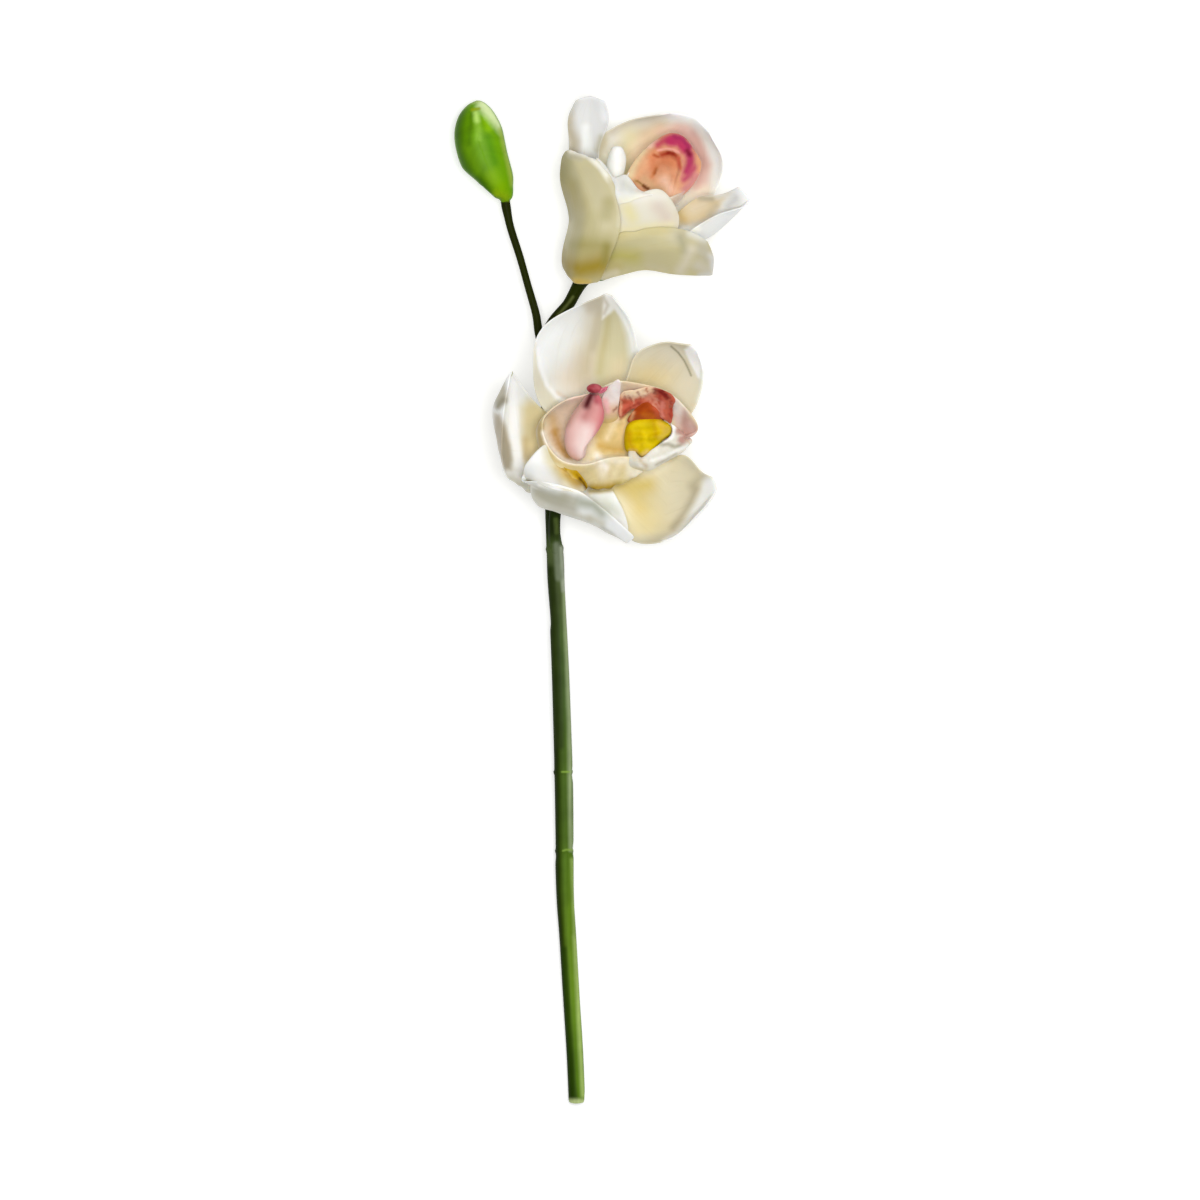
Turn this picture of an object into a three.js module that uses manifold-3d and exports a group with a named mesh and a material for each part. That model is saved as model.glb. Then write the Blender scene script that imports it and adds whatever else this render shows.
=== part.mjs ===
// A cut stem of cymbidium orchid, laid down: one long green stem that divides into three flower stalks,
// which carry a closed bud and two open, waxy white blooms.
// Millimetres. The stem runs along +Y from its cut end to its flowers, and +Z is up from the table.
// Places are measured from the middle of the cut end; the last lines move the origin to the middle of the
// footprint, on the table.
import * as THREE from 'three';
import { LoftGeometry } from 'three/addons/geometries/LoftGeometry.js';
import { mergeGeometries, mergeVertices } from 'three/addons/utils/BufferGeometryUtils.js';
import Module from 'manifold-3d';

const wasm = await Module();
wasm.setup();

// ---------------------------------------------------------------- driving dimensions

const SEAT_GAP = 0.3; // between a flower's part and the ovary that carries it

// The stem's middle line: [x, y, z, radius]. It thins at the crease, where the first stalk leaves it.
const STEM_LINE = [
  [0, 0, 2.6, 2.5], [0, 0.9, 2.9, 2.95], [-0.8, 20, 3.1, 3.0], [-2.2, 42, 3.6, 3.0], [-3.6, 66, 4.4, 3.05],
  [-4.6, 81, 5.0, 3.15], [-5.0, 101, 5.9, 3.4], [-5.3, 126, 7.1, 3.5], [-6.0, 151, 8.3, 3.4],
  [-6.7, 172, 9.3, 3.3], [-7.6, 192, 10.2, 3.2], [-8.6, 208, 11.0, 3.4], [-9.0, 219, 11.5, 3.4],
  [-9.9, 229, 11.9, 2.8], [-10.8, 249, 12.6, 2.6], [-12.2, 277, 13.4, 2.4], [-13.4, 303, 13.8, 2.2],
];
// Rings left on the stem by fallen bracts; their height is a share of the stem's radius.
const STEM_SCARS = [{ y: 100.4, height: 0.09 }, { y: 132, height: 0.11 }, { y: 221.5, height: 0.1 }];
const SCAR_HALF_WIDTH = 1.0; // along the stem
const STEM_SIDES = 10;
const STEM_RINGS = 40;
const CUT_END_RINGS = [0.3, 0.9]; // from the end, where its edge is rounded
const SCAR_RINGS = [-1.6, -0.7, 0, 0.7, 1.6];
const STALK_SIDES = 8;
const STALK_RINGS = 12;

// The three stalks, each from inside the stem to the flower it carries: [x, y, z, radius].
const BUD_STALK = [
  [-13.2, 299, 13.8, 1.5], [-15.4, 307, 13.3, 1.7], [-16.6, 315, 12.8, 1.6], [-19.4, 325, 12.2, 1.5],
  [-23.2, 338.5, 11.4, 1.5], [-27.0, 350.5, 10.8, 1.55], [-28.9, 359.9, 10.35, 1.8],
];
const UPPER_STALK = [
  [-13.2, 299, 13.8, 2.0], [-12.0, 308, 14.4, 2.3], [-8.2, 314, 15.2, 2.4], [-3.8, 319, 16.2, 2.4],
  [-0.8, 324.4, 17.4, 2.5], [2.0, 329, 18.4, 3.0], [5.4, 331.8, 19.0, 3.4],
];
const LOWER_STALK = [
  [-8.8, 214, 11.2, 2.2], [-9.1, 221, 12.8, 2.5], [-9.3, 229, 14.5, 2.4], [-8.6, 237.5, 16.4, 2.4],
  [-4.0, 247, 17.6, 2.5], [3.6, 255.4, 19.0, 2.9], [8.2, 259.8, 21.6, 3.6],
];

// Where the parts of each bloom meet, and the way the bloom looks.
const LOWER_HEART = new THREE.Vector3(9, 260.8, 26);
const LOWER_AXIS = new THREE.Vector3(0, 0, 1);
const UPPER_HEART = new THREE.Vector3(7.8, 333.6, 19.65);
const UPPER_AXIS = new THREE.Vector3(0.6, 0.6, 0.5).normalize();
const OVARY_TOP = { across: 5.8, along: 3.8 }; // half sizes of the swollen ovary top
const LOWER_OVARY_DROP = 3.3; // its middle below the lower heart, so the lip can stand on it

// The closed bud: [x, y, radius] along its curved middle line, and its height over the table.
const BUD_LINE = [
  [-28.9, 360.4, 2.0], [-29.5, 362.4, 4.2], [-31.8, 366, 7.0], [-34.2, 370.5, 8.5], [-37.2, 377, 9.5],
  [-39.0, 383.5, 9.9], [-39.8, 389, 9.5], [-40.0, 394, 7.9], [-39.9, 397.6, 5.4], [-39.8, 399.8, 3.0],
  [-39.8, 400.8, 0.8],
];
const BUD_HEIGHT = 10.28;
const BUD_SIDES = 18;
const BUD_RINGS = 15;
const BUD_RIDGE = 0.045; // how far the three sepals' keels stand out, as a share of the radius

// Blade resolution and thickness. A tepal is waxy and thick at its middle.
const BLADE = { rows: 12, columns: 10, middle: 1.4, margin: 0.9 };
const CREASE = 0.4; // how far a blade's bow is a fold along its midline, from 0 to 1

// A tepal is drawn by three lines from its claw to its tip: its left margin, its midline and its right
// margin, seen from the side that faces the lip. Each bloom's numbers are measured from its heart.
const LOWER_TEPALS = {
  lower_dorsal_sepal: {
    left: [[-5.2, -1.8, -1.2], [-16.4, -8, -3.4], [-28.6, -18.2, -0.4], [-37.6, -10.8, 10], [-38.8, 10, 20],
      [-36, 29.6, 19]],
    middle: [[-5.2, 0.1, -1.4], [-15.2, 2.4, -3.4], [-26, 2, -4], [-36.8, 4, 1.5], [-42.4, 16, 10],
      [-35.4, 30.6, 18]],
    right: [[-5.2, 2, -1.2], [-13.6, 8.8, -2.5], [-20.4, 14.4, -1.5], [-25, 18, 3], [-30, 24, 10.5],
      [-34.4, 30.2, 18.4]],
    ripple: { waves: 2.5, height: 1.0 },
  },
  lower_petal_top: {
    left: [[-3.4, 4.3, -1], [-13, 10.6, 1.6], [-20.6, 14.4, 4.4], [-25, 21, 9.5], [-26.4, 31, 16],
      [-24.6, 46.4, 20], [-11.2, 56.4, 20], [1.0, 61.2, 22]],
    middle: [[-1.3, 5.2, -1.3], [-2, 18, -1.5], [-1.5, 30, 1], [-1, 42, 5], [0.5, 52, 11], [2.4, 61.9, 21.2]],
    right: [[1.2, 5.3, -1.1], [9, 17, 2.4], [13.8, 29.4, 6.5], [15, 40, 10], [12, 51.6, 14.6],
      [5.2, 61, 21.6]],
    ripple: { waves: 2, height: 0.7 },
  },
  lower_sepal_top: {
    left: [[2.6, 4.7, -0.9], [7.6, 18, 6.9], [11.2, 30, 13.5], [14.8, 38.6, 17], [24.8, 42.8, 19],
      [33.6, 42, 21]],
    middle: [[4.3, 3.2, -1.3], [13.6, 14.4, -0.5], [20.8, 23.2, 2.5], [27.2, 31.2, 6.5], [32.8, 37.2, 12.5],
      [36.8, 41.4, 20]],
    right: [[5.3, 1.1, -1.1], [22, 7.2, 4], [34, 12, 9.5], [39.2, 20, 13.5], [41.2, 31.2, 17],
      [39, 39.2, 20]],
    ripple: { waves: 2, height: 0.6 },
  },
  lower_sepal_foot: {
    left: [[5.1, -1.2, -1.2], [16, -4.8, -3], [26, -3.4, -0.6], [34, -2.4, 5], [40.8, -9, 11],
      [44.6, -10.8, 13]],
    middle: [[4, -3.4, -1.5], [11, -12, -5.6], [17.6, -20.4, -7.4], [26, -26.8, -5], [36.5, -25.5, 3],
      [46, -16.8, 12]],
    right: [[2.3, -4.8, -1.7], [3.2, -15.6, -6.8], [5.2, -27, -8], [13.6, -36.6, -4.5], [28.4, -35.4, 4],
      [40, -25, 11]],
    ripple: { waves: 2.5, height: 0.8 },
  },
  lower_petal_foot: {
    left: [[-3.8, -3.6, -1], [-11, -5.2, -0.8], [-19.4, -3.4, 2.4], [-27.8, -7, 9], [-31.4, -12, 15],
      [-27.4, -12.8, 19.5]],
    middle: [[-2.2, -4.8, -1.2], [-6.6, -11, -3.6], [-13.8, -18.2, -3.2], [-19.8, -23.2, 2.8], [-13.4, -21.8, 12.8],
      [-8, -17, 19.5]],
    right: [[-0.2, -5.3, -1.2], [4, -14.4, -3.2], [8.6, -23, -3.2], [11, -30.8, 1], [10.4, -37, 7],
      [13.4, -34.8, 13]],
    ripple: { waves: 2, height: 0.7 },
  },
};

const UPPER_TEPALS = {
  upper_dorsal_sepal: {
    left: [[-4.4, 3.0, -2.4], [-11, 19, -3], [-12, 35, 0], [-11.2, 49, 4], [-11.6, 60, 7], [-8.6, 66.6, 9]],
    middle: [[-3.1, 4.6, -2.2], [-5, 19, -7], [-5.5, 35, -5], [-5, 49, 0], [-3.5, 60, 4], [-3, 68.4, 7.6]],
    right: [[-1.3, 5.3, -3.2], [1, 19, -5], [1, 35, -2.4], [1, 48, 2.4], [4.8, 59, 6.6], [3.4, 66.2, 9]],
    ripple: { waves: 1.5, height: 0.5 },
  },
  upper_petal_front: {
    left: [[-5, 1.4, 1.8], [-13.2, 0, 1.5], [-13.5, 8, 2], [-11, 20, 3], [-14.5, 34, 4.4], [-14, 43.6, 6.4],
      [-12.4, 46.6, 9]],
    middle: [[-4.2, -0.4, 4.1], [-8.5, -5.8, 11], [-7, 6.6, 18.4], [-4, 20, 21], [-6, 33, 20], [-9, 42.6, 17],
      [-11, 46.9, 12.2]],
    right: [[-2.4, -2, 5.2], [0.5, -5.4, 11.2], [5.5, 5, 19.6], [9.3, 17, 21.4], [6.4, 30.6, 20.4],
      [-1, 40, 17.6], [-8, 46, 14]],
    ripple: { waves: 2, height: 0.5 },
  },
  upper_petal_back: {
    left: [[0.8, 3, -4.6], [-1, 17, -10.5], [-3, 36, -10], [-1, 50, -6], [12, 58.6, -3], [27.6, 61.8, 1]],
    middle: [[2.5, 1.9, -5.2], [9, 14, -14.5], [17, 30, -18], [26, 44, -18.6], [35.4, 53.4, -12],
      [38.4, 60.4, -3]],
    right: [[4.2, 0.4, -4.4], [17, 6, -10], [34, 17, -11], [46, 28.6, -8], [50.4, 42.4, -2], [45.8, 52.6, 1]],
    ripple: { waves: 2.5, height: 0.8 },
  },
  upper_sepal_back: {
    left: [[4.9, -1.8, -2.8], [17, 9, -5], [29, 19.4, -5], [40, 28, -2], [50, 29.6, 3], [56.4, 32.4, 8]],
    middle: [[4.7, -3.5, -1.2], [19, 3, -5.6], [33, 8, -6], [45, 13, -3], [54, 20.4, 2], [60.6, 27.4, 7]],
    right: [[3.7, -4.3, 0.6], [17, 1.2, 1.8], [28, 7.6, 6], [39, 16, 8.4], [48.4, 21.4, 9], [58.2, 24, 9]],
    ripple: { waves: 2, height: 0.6 },
  },
  upper_sepal_front: {
    left: [[-1.1, -3, 5], [8, 9, 15.2], [17, 15, 18.4], [29, 16, 19.4], [38, 14, 17.6], [43.8, 10.8, 15]],
    middle: [[0.8, -4.1, 4], [8, 3, 12.8], [19, 7, 17.4], [30, 7, 18.6], [39.5, 6, 17], [46.4, 4, 14]],
    right: [[2.6, -4.6, 2.4], [9, -3, 6.6], [19, -0.8, 8], [30, -2.4, 8], [40, -3.0, 8], [45.8, -3, 9]],
    ripple: { waves: 2, height: 0.5 },
  },
};

// A lip is a cup with a waved rim. Its rim is drawn by points round it, anticlockwise as seen from its mouth.
// Its wall opens from a narrow neck, and may swell out on one side.
const LIP_WALL = { around: 30, along: 8, thickness: 1.1, neck: 0.14 };
const LOWER_LIP = {
  base: [0, 0, 1.5],
  axis: [0, 0, 1],
  rim: [[-22.8, 12, 14], [-21.4, 2.6, 15], [-15, -4.6, 15], [-5, -6, 14], [2.5, -3.8, 12], [12, -3.2, 10.5],
    [18, -5.4, 10], [23, -2.6, 10.5], [29, 0.2, 11], [35.6, 2.4, 12], [34, 5, 14.5], [39, 7.8, 16],
    [34.4, 16, 19], [26, 23.2, 21], [16, 26, 21], [6, 27, 20.6], [-3.2, 22.6, 16.6], [-14, 19.6, 16]],
  rise: 1.7,
  belly: [-2.2, -8, -0.5],
  frill: { waves: 9, height: 0.5 },
};
const UPPER_LIP = {
  base: [4.0, 4.0, 3.4],
  axis: [0.52, 0.84, 0.15],
  rim: [[7.6, 31.6, 14.5], [15.2, 30, 17], [21.2, 29.6, 18], [28, 27.8, 16.5], [33.2, 29.4, 10],
    [38, 34.4, 4], [40.4, 41.2, 0], [36.8, 48.8, -3], [32, 53.2, -3], [25.2, 51.2, -2], [19.2, 46.4, 1],
    [14.4, 40.4, 5], [11, 35.4, 10]],
  rise: 1.15,
  belly: [0, -1, 0],
  frill: { waves: 8, height: 0.4 },
};

// The cushion on a lip's floor: its outline, the height of its underside at the outline's middle, the slope of
// that along x and y, its thickness, how deep its middle is dished, and its keels.
const LOWER_CALLUS = {
  outline: [[11, 9.6], [14.6, 12.2], [19.6, 12.8], [24.8, 12], [28.6, 9], [28.2, 6.6], [25, 4.2], [22, 1.2],
    [19.4, -1.8], [16.8, -2.6], [14.4, -0.6], [10.8, -0.4], [10, 4.4]],
  base: 6, slope: [0.1, 0.1], height: 5.4, dish: 0, keels: { apart: 5.2, height: 0.9 },
};
const UPPER_CALLUS = {
  outline: [[16, 35.2], [17.6, 40], [20.4, 44], [24, 46.4], [28.4, 47.6], [32.4, 46.6], [35, 43.6], [35.6, 39],
    [34.6, 34.6], [32.4, 30.6], [29, 28], [25, 29], [21, 30.4], [18, 32.4]],
  base: 2.6, slope: [-0.1, -0.62], height: 4, dish: 0.6, keels: { apart: 6.4, height: 0.5 },
};
const CUSHION_AROUND = 26;
const CUSHION_RINGS = [[0.7, 0], [0.92, 0.1], [1, 0.45], [0.94, 0.8], [0.8, 0.97], [0.55, 1], [0.28, 1]];

// A column: the middle line of its tongue, [x, y, z, half width, half depth], and the cap on its tip.
const LOWER_COLUMN = [
  [-7.8, -3.9, 10.6, 1.6, 1.0], [-7.7, -2.4, 11.4, 5.2, 2.6], [-6.9, 1.6, 12.8, 7.6, 3.8],
  [-5.7, 7, 14.8, 8.2, 4.0], [-4.3, 13, 17.2, 6.9, 3.4], [-3.1, 18.2, 19.8, 4.4, 2.6],
  [-2.5, 21, 21.2, 3.0, 2.1], [-2.3, 22.1, 21.7, 1.9, 1.4],
];
const LOWER_COLUMN_FOOT = [[-3.2, 0.8, 1.0, 2.0], [-4.2, 2, 6, 2.4], [-5.8, 4.4, 11.5, 3]];
const UPPER_COLUMN = [
  [0.0, 4.4, 0.6, 1.6, 1.5], [0.4, 12, 0.4, 2.1, 1.9], [2.2, 22, 0.8, 2.6, 2.2], [5.2, 30, 2.0, 3.2, 2.4],
  [7.2, 36, 3.6, 3.2, 2.4], [8.3, 41, 5.5, 2.8, 2.2], [8.7, 43, 6.4, 2.5, 2.1], [8.8, 43.9, 6.8, 1.8, 1.5],
];
const LOWER_CAP = { at: [-2.3, 24.4, 22.3], half: [3.1, 2, 2.1] };
const UPPER_CAP = { at: [9.0, 46.4, 7.9], half: [2.7, 2.3, 2.2] };

// ---------------------------------------------------------------- geometry helpers

const vector = ([x, y, z]) => new THREE.Vector3(x, y, z);
const evenSteps = (count) => Array.from({ length: count + 1 }, (_, i) => i / count);
const rail = (points) => new THREE.CatmullRomCurve3(points.map(vector), false, 'centripetal');

function closeUp(pieces) {
  for (const piece of pieces) {
    piece.deleteAttribute('normal');
    piece.deleteAttribute('uv');
  }
  return mergeVertices(mergeGeometries(pieces), 1e-4);
}

function solidOf(geometry) {
  const merged = geometry.clone();
  merged.deleteAttribute('normal');
  merged.deleteAttribute('uv');
  const closed = mergeVertices(merged, 1e-4);
  return new wasm.Manifold(new wasm.Mesh({
    numProp: 3,
    vertProperties: new Float32Array(closed.attributes.position.array),
    triVerts: new Uint32Array(closed.index.array),
  }));
}

function geometryOf(solid) {
  const mesh = solid.getMesh();
  const geometry = new THREE.BufferGeometry();
  geometry.setAttribute('position', new THREE.BufferAttribute(mesh.vertProperties, 3));
  geometry.setIndex(new THREE.BufferAttribute(mesh.triVerts, 1));
  return geometry;
}

// The direction that a surface faces, from two small steps on it: across its second direction, then its first.
function facing(surface, u, v) {
  const step = 1e-3;
  const along = surface(Math.min(u + step, 1), v).sub(surface(Math.max(u - step, 0), v));
  const across = surface(u, Math.min(v + step, 1)).sub(surface(u, Math.max(v - step, -1)));
  return across.cross(along).normalize();
}

// A blade's middle surface: u runs from the claw to the tip, v from -1 at the left margin to 1 at the right.
// The midline and both margins fix a bow across the blade, part of it a fold, and the margins are waved.
function bladeSurface({ left, middle, right, ripple }) {
  const rails = [rail(left), rail(middle), rail(right)];
  return (u, v) => {
    const [a, m, b] = rails.map((curve) => curve.getPoint(u));
    const half = b.clone().sub(a).multiplyScalar(0.5);
    const bow = b.clone().add(a).multiplyScalar(0.5).sub(m);
    const wave = ripple.height * Math.abs(v) ** 3 * Math.sin(Math.PI * u) *
      Math.sin(2 * Math.PI * ripple.waves * u + 1.3 * v);
    const lift = new THREE.Vector3(0, 0, wave);
    const rise = (1 - CREASE) * v * v + CREASE * Math.abs(v);
    return m.addScaledVector(half, v).addScaledVector(bow, rise).add(lift);
  };
}

// A closed blade on a surface. Both faces are split into triangles alike, so they can't cross where it is thin.
function blade(surface, { rows, columns, middle, margin }) {
  const front = [];
  const back = [];
  for (let i = 0; i <= rows; i++) {
    const u = i / rows;
    front.push([]);
    back.push([]);
    for (let j = 0; j <= columns; j++) {
      const v = Math.sin((j / columns - 0.5) * Math.PI * 0.8) / Math.sin(Math.PI * 0.4);
      const half = (middle + (margin - middle) * v * v) / 2;
      const normal = facing(surface, u, v);
      front[i].push(surface(u, v).addScaledVector(normal, half));
      back[i].push(surface(u, v).addScaledVector(normal, -half));
    }
  }
  const margins = [back, front].map((face) => [
    ...face[0].slice(0, -1),
    ...face.slice(0, -1).map((row) => row[columns]),
    ...face[rows].slice(1).reverse(),
    ...face.slice(1).reverse().map((row) => row[0]),
  ]);
  const frontFace = new LoftGeometry(front, { closed: false });
  const backFace = new LoftGeometry(back, { closed: false });
  backFace.index.array.reverse();
  return closeUp([frontFace, backFace, new LoftGeometry(margins)]);
}

// A flat fan that closes a ring, facing the side from which the ring runs anticlockwise.
function disc(ring) {
  const centre = ring.reduce((sum, p) => sum.add(p), new THREE.Vector3()).divideScalar(ring.length);
  const geometry = new THREE.BufferGeometry().setFromPoints([centre, ...ring]);
  geometry.setIndex(ring.flatMap((_, k) => [0, k + 1, (k + 1) % ring.length + 1]));
  return geometry;
}

// A lip's middle surface: u runs from its foot to its rim, v goes once round it.
function lipSurface({ base, axis, rim, rise, belly, frill }) {
  const edge = new THREE.CatmullRomCurve3(rim.map(vector), true, 'centripetal');
  const foot = vector(base);
  const centre = rim.map(vector).reduce((sum, p) => sum.add(p), new THREE.Vector3()).divideScalar(rim.length);
  const ahead = vector(axis).normalize();
  const swell = vector(belly);
  return (u, v) => {
    const turn = ((v % 1) + 1) % 1;
    const reach = edge.getPoint(turn).sub(centre);
    const forward = reach.dot(ahead);
    const sideways = reach.addScaledVector(ahead, -forward);
    const open = LIP_WALL.neck + (1 - LIP_WALL.neck) * Math.sin(u * Math.PI / 2);
    const bulge = Math.sin(Math.PI * u) * Math.max(0, Math.cos(sideways.angleTo(swell))) ** 4;
    const wave = frill.height * u ** 4 * Math.sin(2 * Math.PI * frill.waves * turn);
    return foot.clone().lerp(centre, u ** rise)
      .addScaledVector(ahead, forward * u ** rise + wave)
      .addScaledVector(sideways, open)
      .addScaledVector(swell, bulge);
  };
}

// The way a lip's wall faces, outwards.
function lipFacing(surface, u, v) {
  const step = 1e-3;
  const along = surface(Math.min(u + step, 1), v).sub(surface(Math.max(u - step, 0), v));
  const around = surface(u, v + step).sub(surface(u, v - step));
  return around.cross(along).normalize();
}

function lip(shape, thickness = LIP_WALL.thickness) {
  const surface = lipSurface(shape);
  const { around, along } = LIP_WALL;
  const ring = (u, side) => Array.from({ length: around }, (_, k) => {
    const v = k / around;
    return surface(u, v).addScaledVector(lipFacing(surface, u, v), side * thickness / 2);
  });
  const outer = evenSteps(along).map((u) => ring(u, 1));
  const inner = evenSteps(along).map((u) => ring(u, -1));
  return closeUp([
    new LoftGeometry([...outer, ...inner.reverse()]), disc([...outer[0]].reverse()), disc(inner[along]),
  ]);
}

// What stands in a lip: cut off at its inner face, a seat's gap above it.
function seatedInLip(shape, geometry) {
  const thickened = solidOf(lip(shape, LIP_WALL.thickness + 2 * SEAT_GAP));
  const pieces = solidOf(geometry).subtract(thickened).decompose();
  const largest = pieces.reduce((best, piece) => piece.volume() > best.volume() ? piece : best);
  return geometryOf(largest);
}

// A callus: a fleshy cushion over its outline, with keels along x and a dish in its middle. Each ring is a
// share of the outline and a share of the height.
function cushion({ outline, base, slope, height, dish, keels }) {
  const edge = new THREE.CatmullRomCurve3(outline.map(([x, y]) => vector([x, y, 0])), true, 'centripetal');
  const ring = evenSteps(CUSHION_AROUND).slice(1).map((u) => edge.getPoint(u)).reverse();
  const centre = ring.reduce((sum, p) => sum.add(p), new THREE.Vector3()).divideScalar(ring.length);
  const rings = CUSHION_RINGS.map(([share, rise]) => ring.map((p) => {
    const at = centre.clone().lerp(p, share);
    const { x: right, y: ahead } = at.clone().sub(centre);
    const keel = keels.height * Math.cos(2 * Math.PI * ahead / keels.apart);
    const top = height * (1 - dish * (1 - share * share)) + keel * (1 - share * share);
    return at.setZ(base + slope[0] * right + slope[1] * ahead + rise * top);
  }));
  return closeUp([new LoftGeometry(rings), disc([...rings[0]].reverse()), disc(rings[rings.length - 1])]);
}

// A solid stalk through points of [x, y, z, width across, depth], or one radius for both.
function stalk(line, { sides, steps, swell = () => 1, section = () => 1 }) {
  const middle = rail(line.map(([x, y, z]) => [x, y, z]));
  const size = new THREE.CatmullRomCurve3(
    line.map(([, , , width, depth = width]) => new THREE.Vector3(width, depth, 0)), false, 'centripetal');
  const up = new THREE.Vector3(0, 0, 1);
  const sections = steps.map((u) => {
    const at = middle.getPoint(u);
    const tangent = middle.getTangent(u);
    const side = tangent.clone().cross(up).normalize();
    const crown = side.clone().cross(tangent).normalize();
    const { x: width, y: depth } = size.getPoint(u);
    return Array.from({ length: sides }, (_, k) => {
      const angle = 2 * Math.PI * k / sides - Math.PI / 2;
      const radius = swell(at) * section(angle);
      return at.clone()
        .addScaledVector(side, -width * radius * Math.cos(angle))
        .addScaledVector(crown, depth * radius * Math.sin(angle));
    });
  });
  return closeUp([new LoftGeometry(sections, { capStart: true, capEnd: true })]);
}

// ---------------------------------------------------------------- finishes

function finish(color, roughness) {
  return new THREE.MeshStandardMaterial({ color, roughness, metalness: 0 });
}
const STEM_GREEN = finish(0x5a7a36, 0.5);
const BUD_GREEN = finish(0x7fb020, 0.45);
const WAXY_WHITE = finish(0xf1eee2, 0.45);
const LIP_PEACH = finish(0xecc9a8, 0.45);
const LIP_ROSE = finish(0xc9547a, 0.45);
const CALLUS_YELLOW = finish(0xe0c010, 0.5);
const CALLUS_ORANGE = finish(0xd9824a, 0.5);
const COLUMN_PINK = finish(0xdc9aa4, 0.4);
const COLUMN_WHITE = finish(0xf4f0e6, 0.4);
const CAP_CRIMSON = finish(0xa82c40, 0.4);
const CAP_CREAM = finish(0xf0e2b8, 0.4);

function named(name, geometry, material) {
  const mesh = new THREE.Mesh(geometry, material);
  mesh.name = name;
  return mesh;
}

// ---------------------------------------------------------------- stem, stalks and bud

// The swollen top of an ovary, at a bloom's heart, in the stem's own frame.
function ovaryTop(heart, axis, drop, swollen = 0) {
  const geometry = new THREE.SphereGeometry(1, 14, 9);
  const { across, along } = OVARY_TOP;
  geometry.scale(across + swollen, along + swollen, across + swollen);
  geometry.applyQuaternion(new THREE.Quaternion().setFromUnitVectors(new THREE.Vector3(0, 1, 0), axis));
  geometry.translate(...heart.clone().addScaledVector(axis, -drop).toArray());
  return solidOf(geometry);
}

// The step at which a line passes a place y; the stem's y only grows along it.
function stepAt(line, y) {
  let [low, high] = [0, 1];
  while (high - low > 1e-5) {
    const middle = (low + high) / 2;
    if (line.getPoint(middle).y < y) low = middle;
    else high = middle;
  }
  return low;
}

// The stem's rings: even ones, more at the cut end's rounding and on both sides of every scar.
function stemSteps() {
  const line = rail(STEM_LINE);
  const extra = [
    ...CUT_END_RINGS.map((y) => stepAt(line, y)),
    ...STEM_SCARS.flatMap((scar) => SCAR_RINGS.map((side) => stepAt(line, scar.y + side * SCAR_HALF_WIDTH))),
  ];
  return [...evenSteps(STEM_RINGS), ...extra]
    .sort((a, b) => a - b)
    .filter((u, i, all) => i === 0 || u - all[i - 1] > 5e-4);
}

function stem() {
  const scars = (at) => STEM_SCARS.reduce((radius, { y, height }) =>
    radius + height * Math.exp(-(((at.y - y) / SCAR_HALF_WIDTH) ** 2)), 1);
  const rachis = solidOf(stalk(STEM_LINE, { sides: STEM_SIDES, steps: stemSteps(), swell: scars }));
  const stalks = [BUD_STALK, UPPER_STALK, LOWER_STALK].map((line) =>
    solidOf(stalk(line, { sides: STALK_SIDES, steps: evenSteps(STALK_RINGS) })));
  const joined = [
    ...stalks,
    ovaryTop(LOWER_HEART, LOWER_AXIS, LOWER_OVARY_DROP),
    ovaryTop(UPPER_HEART, UPPER_AXIS, 0),
  ].reduce((sum, part) => sum.add(part), rachis);
  return named('stem', geometryOf(joined), STEM_GREEN);
}

function antherCap({ at, half }) {
  return closeUp([new THREE.SphereGeometry(1, 12, 8).scale(...half).translate(...at)]);
}

function bud() {
  const line = BUD_LINE.map(([x, y, radius]) => [x, y, BUD_HEIGHT, radius]);
  const keels = (angle) => 1 + BUD_RIDGE * Math.cos(3 * (angle + Math.PI / 2));
  const closed = stalk(line, { sides: BUD_SIDES, steps: evenSteps(BUD_RINGS), section: keels });
  return named('bud', closed, BUD_GREEN);
}

// ---------------------------------------------------------------- blooms

// Moves a part that was cut in the stem's frame back into its bloom's.
function cutAtHeart(geometry, heart, axis, drop) {
  const ovary = ovaryTop(heart, axis, drop, SEAT_GAP);
  const placed = solidOf(geometry.clone().translate(...heart.toArray()));
  return geometryOf(placed.subtract(ovary)).translate(...heart.clone().negate().toArray());
}

function tepals(shapes, heart, axis, drop) {
  return Object.entries(shapes).map(([name, shape]) =>
    named(name, cutAtHeart(blade(bladeSurface(shape), BLADE), heart, axis, drop), WAXY_WHITE));
}

function lowerBloom() {
  const bloom = new THREE.Group();
  bloom.position.copy(LOWER_HEART);
  bloom.add(...tepals(LOWER_TEPALS, LOWER_HEART, LOWER_AXIS, LOWER_OVARY_DROP));
  bloom.add(named('lower_lip', lip(LOWER_LIP), LIP_PEACH));
  bloom.add(named('lower_callus', seatedInLip(LOWER_LIP, cushion(LOWER_CALLUS)), CALLUS_YELLOW));
  const tongue = solidOf(stalk(LOWER_COLUMN, { sides: 14, steps: evenSteps(12) }));
  const foot = solidOf(stalk(LOWER_COLUMN_FOOT, { sides: 8, steps: evenSteps(3) }));
  bloom.add(named('lower_column', seatedInLip(LOWER_LIP, geometryOf(tongue.add(foot))), COLUMN_PINK));
  bloom.add(named('lower_anther_cap', antherCap(LOWER_CAP), CAP_CRIMSON));
  return bloom;
}

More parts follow.
